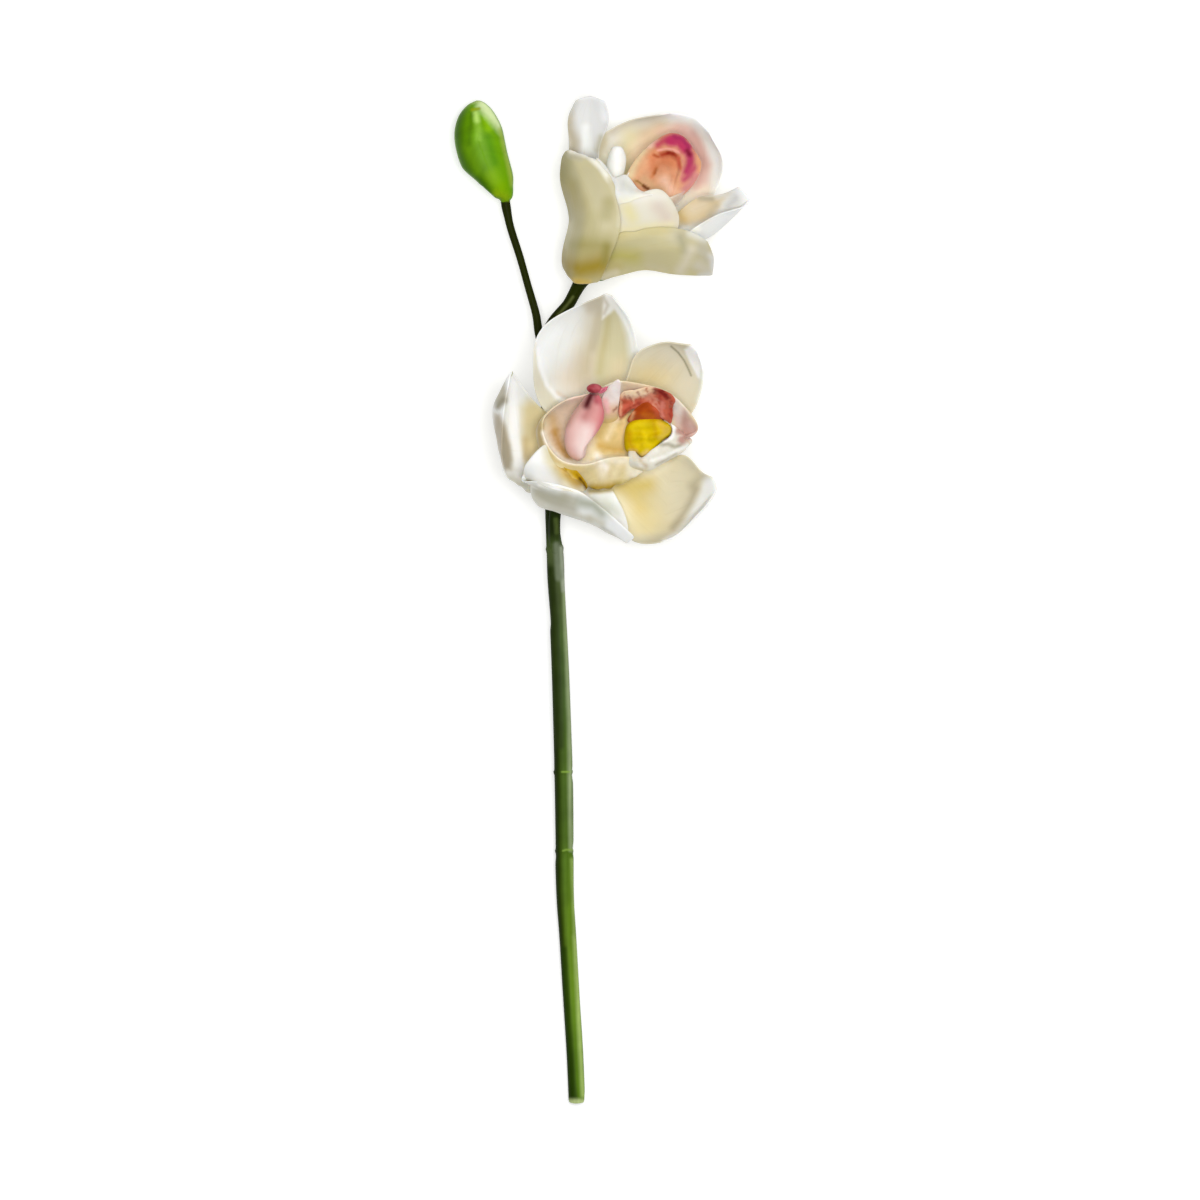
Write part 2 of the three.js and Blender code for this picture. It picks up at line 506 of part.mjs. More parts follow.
function upperBloom() {
  const bloom = new THREE.Group();
  bloom.position.copy(UPPER_HEART);
  bloom.add(...tepals(UPPER_TEPALS, UPPER_HEART, UPPER_AXIS, 0));
  bloom.add(named('upper_lip', lip(UPPER_LIP), LIP_ROSE));
  bloom.add(named('upper_callus', seatedInLip(UPPER_LIP, cushion(UPPER_CALLUS)), CALLUS_ORANGE));
  const column = stalk(UPPER_COLUMN, { sides: 10, steps: evenSteps(10) });
  bloom.add(named('upper_column', cutAtHeart(column, UPPER_HEART, UPPER_AXIS, 0), COLUMN_WHITE));
  bloom.add(named('upper_anther_cap', antherCap(UPPER_CAP), CAP_CREAM));
  return bloom;
}

// ---------------------------------------------------------------- the whole stem

const model = new THREE.Group();
model.add(stem(), bud(), lowerBloom(), upperBloom());
model.updateMatrixWorld(true);

const footprint = new THREE.Box3().setFromObject(model, true);
const middle = footprint.getCenter(new THREE.Vector3());
model.position.set(-middle.x, -middle.y, -footprint.min.z);

export default model;
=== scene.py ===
# %% [markdown]
# # A cut stem of cymbidium orchid
# The stem lies on a pale table: one green stem, a closed bud and two open blooms with waxy petals and
# velvety lips. The imported model is loaded first, as a fixed frame in metres. Every form of the flower is
# already there as a plain solid, so most pieces below start as a copy of their solid, are rounded as living
# tissue is, and then get their colours and veins. The thinnest folds and lobes are drawn point by point.

# %% Open the frame
import math

import bmesh
import bpy
import numpy as np
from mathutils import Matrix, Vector, noise


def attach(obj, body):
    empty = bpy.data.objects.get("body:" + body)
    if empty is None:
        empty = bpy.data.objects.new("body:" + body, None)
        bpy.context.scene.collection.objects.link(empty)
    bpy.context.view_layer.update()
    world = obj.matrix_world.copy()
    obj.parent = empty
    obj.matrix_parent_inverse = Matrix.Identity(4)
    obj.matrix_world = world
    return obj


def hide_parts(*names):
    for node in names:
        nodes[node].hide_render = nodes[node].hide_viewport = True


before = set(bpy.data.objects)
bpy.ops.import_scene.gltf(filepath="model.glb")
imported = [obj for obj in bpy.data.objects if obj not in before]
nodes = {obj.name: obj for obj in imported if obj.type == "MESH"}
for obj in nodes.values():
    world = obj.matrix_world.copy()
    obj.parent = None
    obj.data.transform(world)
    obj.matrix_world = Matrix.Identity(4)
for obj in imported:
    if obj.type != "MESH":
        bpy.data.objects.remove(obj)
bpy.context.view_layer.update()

bpy.ops.object.select_all(action="DESELECT")

# %% [markdown]
# ## Graph paper
# Petals have no straight edges to measure from. A botanical artist lays a flower on graph paper and reads
# off where each tint begins, and the same is done here: one sheet lies under the whole stem, ruled in
# squares of 0.4 mm, with columns counted from its left edge and rows from its top edge. It is chosen over
# plain coordinates because every place in this file can then be written as two short numbers.

# %% Places on the paper
SQUARE = 0.0004                            # one square's side, in metres
PAPER_LEFT, PAPER_TOP = -0.24078, 0.24012  # where the sheet's left and top edges lie
PAPER_SIDE = 1200                          # squares along each side of the sheet


def on_paper(column, row, height=0.0):
    """A place in metres, from a column, a row and a height in millimetres."""
    return Vector((PAPER_LEFT + column * SQUARE, PAPER_TOP - row * SQUARE, height / 1000))


def linear(hex_colour):
    """An sRGB hex colour as linear red, green and blue, by the numbers of the sRGB standard."""
    parts = [int(hex_colour[i:i + 2], 16) / 255 for i in (1, 3, 5)]
    return [p / 12.92 if p <= 0.04045 else ((p + 0.055) / 1.055) ** 2.4 for p in parts]


paper_middle = on_paper(PAPER_SIDE / 2, PAPER_SIDE / 2)
print("the middle of the paper is at", [round(1000 * v, 2) for v in paper_middle], "mm")

# %% [markdown]
# ## Rounding a solid into living tissue
# A petal is a thin cushion of cells, with a soft rounded edge all round. It could be modelled again from a
# grid, but its solid already has the right bow and waves, in a coarse net of flat faces. So the solid's mesh
# is copied, its loose triangles are merged and paired into four-sided faces, it is thinned a little, and a
# Subdivision Surface rounds it. Rounding draws a net inwards, which would shorten every tip, so the net's
# points are first pushed out by as much as they would lose. The copy then stands for the solid, which stays
# in the physics.

# %% Copy a solid and round it
SAME_POINT = 2e-5               # points nearer to each other than this, in metres, are one
ONE_FACE = math.radians(70)     # triangles that meet at a smaller angle make one four-sided face
PASSES, GIVEN_BACK = 3, 0.85    # each pass pushes back out this share of what rounding takes


def select_only(piece):
    """Deselects everything else, because an operator acts on all that is selected."""
    bpy.ops.object.select_all(action="DESELECT")
    piece.select_set(True)
    bpy.context.view_layer.objects.active = piece


def vertex_table(mesh, what="co"):
    """Every vertex's place ("co") or normal ("normal") as rows of three numbers."""
    table = np.empty(3 * len(mesh.vertices))
    if what == "normal":
        mesh.vertex_normals.foreach_get("vector", table)
    else:
        mesh.vertices.foreach_get("co", table)
    return table.reshape(-1, 3)


def round_through_points(piece, levels=3):
    """Subdivides a piece into a smooth surface that still passes through its own points."""
    rounding = piece.modifiers.new("rounding", "SUBSURF")
    rounding.levels = rounding.render_levels = levels
    wanted = vertex_table(piece.data)
    net = wanted.copy()
    for _ in range(PASSES):
        rounded = piece.evaluated_get(bpy.context.evaluated_depsgraph_get()).data
        net += GIVEN_BACK * (wanted - vertex_table(rounded)[:len(wanted)])
        piece.data.vertices.foreach_set("co", net.ravel())
        piece.data.update()
    bpy.ops.object.modifier_apply(modifier=rounding.name)
    bpy.ops.object.shade_smooth()


def grown_copy(node, thinner=0.0):
    """A rounded copy of one solid, thinner by so many millimetres, which stands for it and rides with it."""
    piece = bpy.data.objects.new(node + "_tissue", nodes[node].data.copy())
    bpy.context.scene.collection.objects.link(piece)
    select_only(piece)
    piece.data.materials.clear()
    bpy.ops.mesh.customdata_custom_splitnormals_clear()
    bpy.ops.object.mode_set(mode="EDIT")
    bpy.ops.mesh.select_all(action="SELECT")
    bpy.ops.mesh.remove_doubles(threshold=SAME_POINT)
    bpy.ops.mesh.tris_convert_to_quads(face_threshold=ONE_FACE, shape_threshold=ONE_FACE)
    if thinner:
        bpy.ops.transform.shrink_fatten(value=-thinner / 1000)
    bpy.ops.object.mode_set(mode="OBJECT")
    round_through_points(piece)
    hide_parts(node)
    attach(piece, "root")
    print(piece.name, "has", len(piece.data.polygons), "faces")
    return piece


# %% [markdown]
# ## Pulling a form
# Living tissue is never as even as its solid: here a side is slimmer, there an edge hangs lower. Both could
# be sculpted with a brush. Proportional editing is used because it can be written down: the points nearest a
# place are moved, and the skin round them follows less and less, out to a reach.

# %% Pull the skin with a soft falloff
FINGERTIP = 0.0008     # points this much farther away than the nearest are still taken hold of, in metres
MOVED = 1e-5           # a point has moved when its distance changes by more, in metres


def distance_from(place, piece):
    """How far each of a piece's points lies from a place, in metres."""
    return np.linalg.norm(vertex_table(piece.data) - np.array(on_paper(*place)), axis=1)


def pull(piece, place, by, reach):
    """Moves the skin nearest a place by (x, y, z) millimetres; the pull fades out at the reach."""
    distance = distance_from(place, piece)
    select_only(piece)
    bpy.ops.object.mode_set(mode="EDIT")
    bpy.ops.mesh.select_all(action="DESELECT")
    skin = bmesh.from_edit_mesh(piece.data)
    skin.verts.ensure_lookup_table()
    for k in np.flatnonzero(distance < distance.min() + FINGERTIP):
        skin.verts[k].select = True
    bpy.ops.transform.translate(value=Vector(by) / 1000, use_proportional_edit=True,
                                proportional_edit_falloff="SMOOTH", proportional_size=reach / 1000)
    bpy.ops.object.mode_set(mode="OBJECT")
    moved = abs(distance_from(place, piece) - distance) > MOVED
    print(piece.name, "pulled,", int(moved.sum()), "points moved")


# %% [markdown]
# ## Painting pigment, painted shade and highlights
# A flower's colour lies in its cells, strongest along some lines and fading with no edge. Image textures
# are one way, but each would need an unwrapped map. Here the colour is painted on the vertices, which lie
# about half a millimetre apart: a ground colour first, then marks on the paper. A mark is a stroke along a
# line, or a filled outline, and both fade over a blur that is given in squares. Many marks are painted light
# and not the flower's own tint: darker ones are painted shade in creases, folds and hollows and on sides
# that turn from the light, and pale ones are painted highlights on rims, ridges and tips. Only the upper side
# takes the marks, so the two sides of a petal keep their own tints. They change over quickly at a blade's
# edge, and slowly on a rounded flank.

# %% Strokes and fills
FADE = 1.5      # the edge of a mark fades over so many of its blurs


def ease(share):
    """A share from 0 to 1 that starts and ends gently."""
    share = np.clip(share, 0, 1)
    return share * share * (3 - 2 * share)


def away_from(places, line):
    """How many squares each place lies from a line through points on the paper."""
    points = np.array([on_paper(*p)[:2] for p in line])
    nearest = np.full(len(places), np.inf)
    for a, b in zip(points[:-1], points[1:]):
        share = np.clip((places - a) @ (b - a) / ((b - a) @ (b - a)), 0, 1)
        nearest = np.minimum(nearest, np.linalg.norm(places - a - share[:, None] * (b - a), axis=1))
    return nearest / SQUARE


def along(width, blur, *line):
    """A stroke of a half width: its edge fades from half a blur inside it to a blur outside."""
    return lambda places, wander: ease((width + blur - away_from(places, line) - wander) / (FADE * blur))


def within(blur, *outline):
    """A fill: full inside its outline, and its edge fades over one and a half blurs."""
    def cover(places, wander):
        edge = away_from(places, outline + outline[:1])
        corners = np.array([on_paper(*p)[:2] for p in outline])
        inside = np.zeros(len(places), bool)
        for a, b in zip(corners, np.roll(corners, -1, axis=0)):
            if a[1] != b[1]:
                crossing = a[0] + (places[:, 1] - a[1]) / (b[1] - a[1]) * (b[0] - a[0])
                inside ^= ((a[1] > places[:, 1]) != (b[1] > places[:, 1])) & (places[:, 0] < crossing)
        return ease(0.5 + (np.where(inside, edge, -edge) - wander) / (FADE * blur))
    return cover


# %% Paint
PAST_UPRIGHT = 0.05     # how far a face may lean over (as its normal's z) and still take some paint
RAGGEDNESS = 700        # the scale of the noise that a ragged edge follows: waves of 1.4 mm


def paint(piece, ground, marks, underside, ragged=0.0, horizon=0.15):
    """Stores the painted colour, pigment with painted shade and highlights: a ground colour, then marks of
    (colour, strength, stroke or fill).

    Ragged says by how many squares the marks' edges wander. The marks give way to the underside's tint as the
    skin turns upright; the horizon is the range of its normal's z over which both are mixed.
    """
    # on most pieces the underside's tint is darker than the marks, so it also paints shade where the skin turns
    # upright
    places, facing = vertex_table(piece.data), vertex_table(piece.data, "normal")[:, 2]
    seen = np.clip((facing + PAST_UPRIGHT) / horizon, 0, 1)
    colour = np.tile(linear(ground), (len(places), 1))
    wander = ragged * np.array([noise.noise(Vector(p) * RAGGEDNESS) for p in places]) if ragged else 0
    for tint, strength, mark in marks:
        cover = strength * seen * mark(places[:, :2], wander)
        colour += (np.array(linear(tint)) - colour) * cover[:, None]
    colour += (np.array(linear(underside)) - colour) * (1 - seen)[:, None]
    pigment_and_painted_light = piece.data.color_attributes.new("pigment_and_painted_light", "FLOAT_COLOR", "POINT")
    pigment_and_painted_light.data.foreach_set("color", np.hstack([colour, np.ones((len(places), 1))]).ravel())
    print(piece.name, "painted with", len(marks), "marks")


# %% [markdown]
# ## The grain of a petal
# Veins leave a petal's claw side by side, spread over the blade and draw together at its tip. A stripe
# pattern in plain space would cut across them, so each vertex stores where it lies along its petal's
# midline and how far to the side of it, in millimetres. Veins drawn in those two numbers bend with the
# blade.

# %% Measure along and across
RUN_ON = 9                  # a midline's first and last stretch run on by so many of their lengths
BLADE_ENDS = (0.02, 0.98)   # outside these shares of the midline the veins draw no closer together
WIDEST, TAPER = 0.8, 0.6    # powers: the widest place is 42% of the way along, and the blade stays full


def lay_grain(piece, midline):
    """Stores each vertex's distance along the midline and across from it, in millimetres."""
    places = vertex_table(piece.data)
    points = np.array([on_paper(*p) for p in midline])
    lengths = np.linalg.norm(np.diff(points, axis=0), axis=1)
    starts = np.concatenate([[0], np.cumsum(lengths)])
    nearest = np.full(len(places), np.inf)
    along_it, across = np.zeros(len(places)), np.zeros(len(places))
    for k, (a, b) in enumerate(zip(points[:-1], points[1:])):
        share = (places - a) @ (b - a) / ((b - a) @ (b - a))
        share = np.clip(share, -RUN_ON if k == 0 else 0, RUN_ON if k == len(lengths) - 1 else 1)
        offset = places - a - share[:, None] * (b - a)
        distance = np.linalg.norm(offset, axis=1)
        side = np.sign(offset[:, 0] * (b - a)[1] - offset[:, 1] * (b - a)[0])
        closer = distance < nearest
        nearest[closer] = distance[closer]
        along_it[closer] = starts[k] + share[closer] * lengths[k]
        across[closer] = side[closer] * distance[closer]
    # the veins draw together at both ends, so the distance across is widened there
    share = np.clip(along_it / starts[-1], *BLADE_ENDS)
    spread = across / np.sin(np.pi * share ** WIDEST) ** TAPER
    grain = piece.data.attributes.new("grain", "FLOAT_VECTOR", "POINT")
    rows = np.stack([1000 * along_it, 1000 * spread, np.zeros(len(places))], axis=1)
    grain.data.foreach_set("vector", rows.ravel())
    print(piece.name, "is", round(1000 * starts[-1], 1), "mm long at its midline")


# %% [markdown]
# ## Waxy petal skin
# A cymbidium's sepals and petals are thick, firm and covered in wax: the light goes a little way into the
# cells before it comes back, and the skin has a soft satin gloss without sharp reflections. Plain white
# diffuse paint would look like paper. Principled BSDF with subsurface light, a middling roughness and a low,
# fine-grained bump gives the wax, and a little sheen gives the fine dust on it, which brightens a petal where
# it turns away. The veins are about 1.5 mm apart and only a breath darker.

# %% One function for every node, and what the skins share
def add(tree, kind, inputs=None, **settings):
    """Adds one node with its settings; an input is a value, or the socket that it is linked from."""
    node = tree.nodes.new("ShaderNode" + kind)
    for name, value in settings.items():
        setattr(node, name, value)
    for name, value in (inputs or {}).items():
        if isinstance(value, bpy.types.NodeSocket):
            tree.links.new(value, node.inputs[name])
        else:
            node.inputs[name].default_value = value
    return node


def new_material(name):
    """An empty material and its tree."""
    material = bpy.data.materials.new(name)
    material.use_nodes = True
    material.node_tree.nodes.clear()
    return material, material.node_tree


def painted_material(name):
    """A new material, its tree, and the painted colour of its piece, pigment with painted shade and highlights."""
    material, tree = new_material(name)
    return material, tree, add(tree, "Attribute", attribute_name="pigment_and_painted_light").outputs["Color"]


# a Mix node's colour sockets share their names with its number sockets, so they are called by their places
SHARE, FIRST, SECOND, MIXED = 0, 6, 7, 2


def shaded(tree, colour, pattern, dark, light, low=0.3, high=0.7):
    """Multiplies a colour by a tone that goes from dark to light as the pattern goes from low to high."""
    tone = add(tree, "MapRange", {"Value": pattern, "From Min": low, "From Max": high,
                                  "To Min": dark, "To Max": light}).outputs["Result"]
    return add(tree, "Mix", {SHARE: 1.0, FIRST: colour, SECOND: tone}, data_type="RGBA",
               blend_type="MULTIPLY").outputs[MIXED]


def dress(piece, skin):
    """Gives a piece its material."""
    piece.data.materials.append(skin)


# %% The petal's skin
# fresh petal, grown: softly glowing white satin, a little paler where it turns away, with hair-thin veins
waxy_skin, tree, pigment_and_painted_light = painted_material("waxy_petal_skin")
grain = add(tree, "Attribute", attribute_name="grain").outputs["Vector"]
# 29 mm along the blade and 1.6 mm across it
stretched = add(tree, "Mapping", {"Vector": grain, "Scale": (0.035, 0.62, 1)}).outputs["Vector"]
veins = add(tree, "TexNoise", {"Vector": stretched, "Scale": 1.0, "Detail": 3.0, "Roughness": 0.55})
vein_share = add(tree, "MapRange", {"Value": veins.outputs["Fac"], "From Min": 0.56, "From Max": 0.76,
                                    "To Min": 0.0, "To Max": 0.13}).outputs["Result"]
veined = add(tree, "Mix", {SHARE: vein_share, FIRST: pigment_and_painted_light, SECOND: (*linear("#a99d6c"), 1)},
             data_type="RGBA").outputs[MIXED]
place = add(tree, "TexCoord").outputs["Object"]
# cells are drawn 0.7 mm wide, because real ones are too fine to show; the clouds are 11 mm wide
cells = add(tree, "TexNoise", {"Vector": place, "Scale": 1400.0, "Detail": 2.0})
cloud = add(tree, "TexNoise", {"Vector": place, "Scale": 90.0, "Detail": 2.0})
mottled = shaded(tree, veined, cloud.outputs["Fac"], 0.96, 1.04, low=0.0, high=1.0)
relief = add(tree, "Bump", {"Height": veins.outputs["Fac"], "Strength": 0.25, "Distance": 0.0004})
skin_grain = add(tree, "Bump", {"Height": cells.outputs["Fac"], "Strength": 0.18, "Distance": 0.00012,
                                "Normal": relief.outputs["Normal"]})
skin = add(tree, "BsdfPrincipled", {
    "Base Color": mottled, "Normal": skin_grain.outputs["Normal"], "Roughness": 0.46, "IOR": 1.42,
    "Specular IOR Level": 0.35, "Subsurface Weight": 0.25, "Subsurface Radius": (1.0, 0.75, 0.5),
    "Subsurface Scale": 0.0016, "Sheen Weight": 0.2, "Sheen Roughness": 0.4})
add(tree, "OutputMaterial", {"Surface": skin.outputs["BSDF"]})
print("waxy petal skin has", len(tree.nodes), "nodes")

# %% [markdown]
# ## The lower bloom's sepals and petals
# Five white blades stand round the lower bloom. Their upper faces are white at the rim and go to cream and
# olive towards the heart, where the yellow sap shows through; part of the olive is painted shade on halves
# that turn from the light. Darker strokes along creases and folds are painted shade too, and white strokes on
# rolled rims and tips are painted highlights. Each is a rounded copy of its solid, laid with its grain and
# painted, and two are pulled a little at an edge, where the solid's outline is too straight. Each line of
# numbers below is one mark: its tint, its strength, and the stroke or the fill that takes it.

# %% A tepal from its solid, its midline and its tints
BLADE_TRIM = 0.22      # millimetres that a blade loses on each side, which leaves a petal's thin edge


# the default underside is an olive darker than the faces, partly painted shade on steep and turned-down sides
def tepal(node, midline, ground, marks, underside="#bdb893", pulls=(), horizon=0.15):
    """A sepal or petal. Pulls are rows of (place, by, reach), as pull takes them."""
    piece = grown_copy(node, thinner=BLADE_TRIM)
    for place, by, reach in pulls:
        pull(piece, place, by, reach)
    lay_grain(piece, midline)
    paint(piece, ground, marks, underside, horizon=horizon)
    dress(piece, waxy_skin)


# %% The lower bloom's top petal
tepal("lower_petal_top", [(597, 437, 24.7), (596, 375, 27), (601, 320, 37), (606, 295, 47)], "#e9eae7", [
    # a painted highlight down the lit left margin
    ("#f3f5f4", 0.8, along(4, 10, (556, 330), (541, 350), (540, 372))),
    ("#dfd3c2", 0.9, within(22, (556, 378), (578, 352), (600, 350), (604, 396), (568, 400))),
    # painted shade beside the midrib fold and on the half right of it, which turns from the light; the olive there
    # is partly cream tint
    ("#c5ba9a", 0.9, along(3, 22, (600, 300), (595, 328), (589, 352), (586, 372))),
    ("#a99a70", 0.5, along(0.3, 9, (603, 312), (599, 332), (594, 348))),
    ("#cfc9a2", 0.95, within(9, (604, 316), (610, 308), (618, 306), (628, 332), (632, 354), (626, 378),
                             (612, 396), (596, 398), (595, 372), (599, 346))),
    ("#bdb27e", 0.6, along(2, 6, (608, 316), (606, 334), (601, 356), (599, 372))),
    ("#e2d4b2", 0.8, along(3, 16, (620, 366), (616, 382), (606, 394))),
    ("#e0e2d8", 0.9, along(1, 7, (625, 318), (630, 336), (631, 354))),
    # a painted highlight on the rolled right margin, with painted shade along its fold
    ("#f3f4f1", 0.95, within(3, (611, 298), (622, 304), (633, 322), (639, 348), (636, 354), (632, 352),
                             (629, 334), (622, 320), (613, 308))),
    ("#cfcfc8", 0.8, along(0.5, 1.5, (612, 296), (623, 303), (632, 317), (637, 332), (639, 348))),
    # painted shade beside the curled tip, a painted highlight on it, and painted shade in its crease
    ("#c6beaa", 0.85, within(7, (583, 306), (588, 300), (600, 298), (604, 302), (602, 312), (588, 313))),
    ("#f1f0ea", 0.95, within(3, (605, 294), (612, 297), (618, 306), (610, 314), (602, 320), (603, 306))),
    ("#cdc6b6", 0.9, along(0.6, 3, (604, 299), (608, 306), (604, 314))),
    ("#d0b8a4", 0.7, along(1, 5, (557, 394), (566, 400))),
    # the outer face of the turned-in left margin, grey partly with painted shade, and a painted highlight on its
    # rolled edge
    ("#dad6c4", 0.95, within(4, (534, 340), (538, 352), (539, 368), (546, 387), (556, 400), (566, 406),
                             (552, 420), (538, 412), (530, 390))),
    ("#f8f8f7", 0.95, along(1.2, 2.5, (538, 350), (540, 366), (547, 385), (557, 397), (567, 402))),
])

# %% Its upper right sepal, whose curled tip takes a painted highlight
tepal("lower_sepal_top", [(611, 442, 24.7), (634, 414, 25.5), (668, 372, 32.5), (692, 347, 46)], "#e0dac6", [
    ("#d8c898", 0.95, within(26, (622, 392), (634, 366), (652, 362), (672, 374), (668, 392))),
    ("#e6dfca", 0.7, along(4, 14, (690, 388), (694, 402))),
    ("#e3dec8", 0.8, along(3, 8, (644, 352), (650, 349))),
    ("#d2caae", 0.8, along(1.5, 6, (656, 343), (668, 342), (684, 346), (689, 354), (691, 366))),
    # a painted highlight on the curled tip, beyond the crease
    ("#ffffff", 0.97, within(2.5, (684, 350), (693, 345), (700, 353), (704, 366), (704, 382), (698, 378),
                             (690, 364))),
    ("#e9eadf", 0.9, along(1, 4, (702, 372), (701, 388), (697, 400))),
    # painted shade in the crease before the tip
    ("#7c7850", 0.9, along(0.3, 1.5, (671, 347), (678, 353), (684, 361), (688, 369), (691, 376))),
])

# %% Its dorsal sepal, at the left
tepal("lower_dorsal_sepal", [(587, 450, 24.6), (562, 444, 22.6), (508, 440, 27.5), (511, 373, 44)], "#f2f3f0", [
    ("#d8cb9e", 0.97, within(11, (521, 408), (528, 400), (538, 402), (556, 412), (562, 440), (544, 452),
                             (534, 457), (525, 466), (521, 442))),
    ("#ecdcac", 0.95, along(2, 9, (546, 424), (538, 436), (532, 446))),
    ("#cdb884", 0.8, along(1, 7, (526, 440), (525, 456))),
    # painted shade on the grey outer face where the margin curls over, and in the crease at the top
    ("#ada28a", 0.95, within(5, (494, 413), (500, 415), (506, 427), (511, 445), (513, 460), (511, 470),
                             (504, 470), (499, 456), (493, 436))),
    ("#b2ab94", 0.95, within(5, (505, 382), (507, 392), (507, 401), (498, 408), (494, 402), (500, 388))),
    ("#8a8268", 0.9, along(2, 5, (503, 401), (498, 407))),
    # painted shade along the turned-down lower edge, and a painted highlight on the lit ridge of the rolled margin
    ("#c3c1b2", 0.9, along(2, 7, (510, 480), (520, 488), (530, 496))),
    ("#ffffff", 0.9, along(3, 4, (513, 384), (514, 410), (515, 436), (519, 462), (521, 476))),
], pulls=[
    ((512, 487, 30), (1.5, 1.7, 0), 8.5),
    ((524, 496, 27), (0.3, 1.4, 0), 6),
])

# %% Its foot petal, seen from outside
tepal("lower_petal_foot", [(594, 462, 24.8), (584, 478, 22.4), (566, 510, 29), (580, 492, 45.5)], "#eef0ee", [
    ("#e2dabd", 0.9, within(10, (548, 462), (564, 472), (582, 488), (596, 490), (600, 478), (570, 458))),
    # painted shade on the outer face, which turns down from the light
    ("#a9a791", 0.95, within(9, (522, 484), (534, 484), (548, 490), (566, 494), (574, 504), (560, 508),
                             (540, 500))),
    ("#b0ac96", 0.85, along(3, 7, (538, 494), (552, 502), (564, 506), (573, 509))),
    ("#c2bda6", 0.8, along(1.5, 6, (516, 484), (530, 498), (546, 508), (564, 512), (590, 520))),
    ("#b0ad96", 0.8, along(2, 7, (564, 497), (576, 500))),
    # a painted highlight on the rim, and a yellow painted shadow under the lip's wall
    ("#fbf8ec", 0.95, along(1.8, 3, (540, 484), (560, 489), (578, 491), (590, 494))),
    ("#b09a34", 0.9, along(1.2, 4, (590, 491), (602, 491), (614, 489))),
    # painted shade on the lower band and at its bottom edge
    ("#a9ac96", 0.9, along(3, 9, (582, 503), (594, 505), (602, 513))),
    ("#d5d9cf", 0.9, along(4, 8, (606, 502), (613, 512))),
    ("#c6c3ae", 0.8, along(2, 6, (590, 518), (602, 524))),
    ("#a5a593", 0.9, along(2, 5, (603, 531), (612, 537))),
    ("#f2f3f1", 0.95, within(5, (612, 512), (622, 520), (634, 536), (627, 545), (616, 534))),
# the olive-grey underside, mixed in over a wide horizon, paints shade on the steep outer face
], underside="#c0bba0", horizon=0.5, pulls=[
    ((539, 497, 32), (-1.8, -2, 0), 8.5),
    ((588, 522, 24), (0.2, 1.3, 0), 6),
    ((611, 534, 24), (-0.5, -1.1, 0), 5.5),
])

# %% Its lower right sepal
tepal("lower_sepal_foot", [(610, 458, 24.5), (628, 480, 20.4), (665, 517, 21), (715, 492, 38)], "#e4dcbf", [
    ("#d8ca94", 0.95, along(10, 26, (632, 480), (642, 500), (646, 520))),
    ("#cdb656", 0.9, along(1, 16, (618, 485), (632, 488), (648, 485))),
    ("#d4c078", 0.85, along(3, 13, (634, 492), (640, 508))),
    ("#e6dcba", 0.7, along(2, 9, (616, 500), (622, 516))),
    # painted shade at the upper right
    ("#cdc8b0", 0.8, along(3, 10, (688, 460), (696, 466))),
    ("#f6eed6", 0.85, along(2, 9, (644, 470), (654, 468), (666, 464))),
    ("#c8c4b0", 0.8, along(3, 8, (628, 541), (650, 541), (668, 538))),
    ("#eff0ee", 0.95, within(7, (703, 472), (716, 478), (719, 492), (708, 512), (690, 530), (672, 542),
                             (666, 540), (680, 526), (690, 510), (700, 492))),
    # painted shadow of the folded right margin
    ("#b7ae8c", 0.7, along(1, 9, (708, 473), (700, 478), (692, 486))),
    ("#b0a688", 0.75, along(1, 7, (696, 489), (690, 503), (682, 516), (673, 528))),
    ("#ffffff", 0.9, along(1, 4, (664, 541), (674, 537), (684, 530))),
])

# %% [markdown]
# ## The upper bloom's sepals and petals
# The upper bloom is seen more from its side, so the backs of two blades show. A petal's back is duller and
# greener than its face, because the wax is thinner there and the green sap lies behind it. Dark bands along
# the folds and flanks are painted shade, and the light along some rims is painted highlight. The blades behind
# the lip are white with a blush of pink round the hood. They are made as the lower bloom's blades are, and the
# two in front are pulled a little fuller at one edge.

# %% The upper bloom's topmost sepal
tepal("upper_dorsal_sepal", [(589, 256, 17.4), (584, 220, 12.7), (585, 145, 19.6), (590, 97, 27.3)], "#dcdddc", [
    # painted shade down the left edge, which turns from the light
    ("#b7af98", 0.95, along(4, 8, (567, 116), (569, 130), (574, 142), (573, 152))),
    ("#c0c0b6", 0.9, along(3, 7, (573, 99), (569, 112))),
    ("#eef0ee", 0.8, along(3, 5, (586, 128), (587, 150))),
    # painted shade low on the strap's right
    ("#c6c2ae", 0.9, along(2, 5, (601, 138), (598, 150))),
    ("#eeeff1", 0.8, along(3, 5, (604, 104), (606, 118))),
])

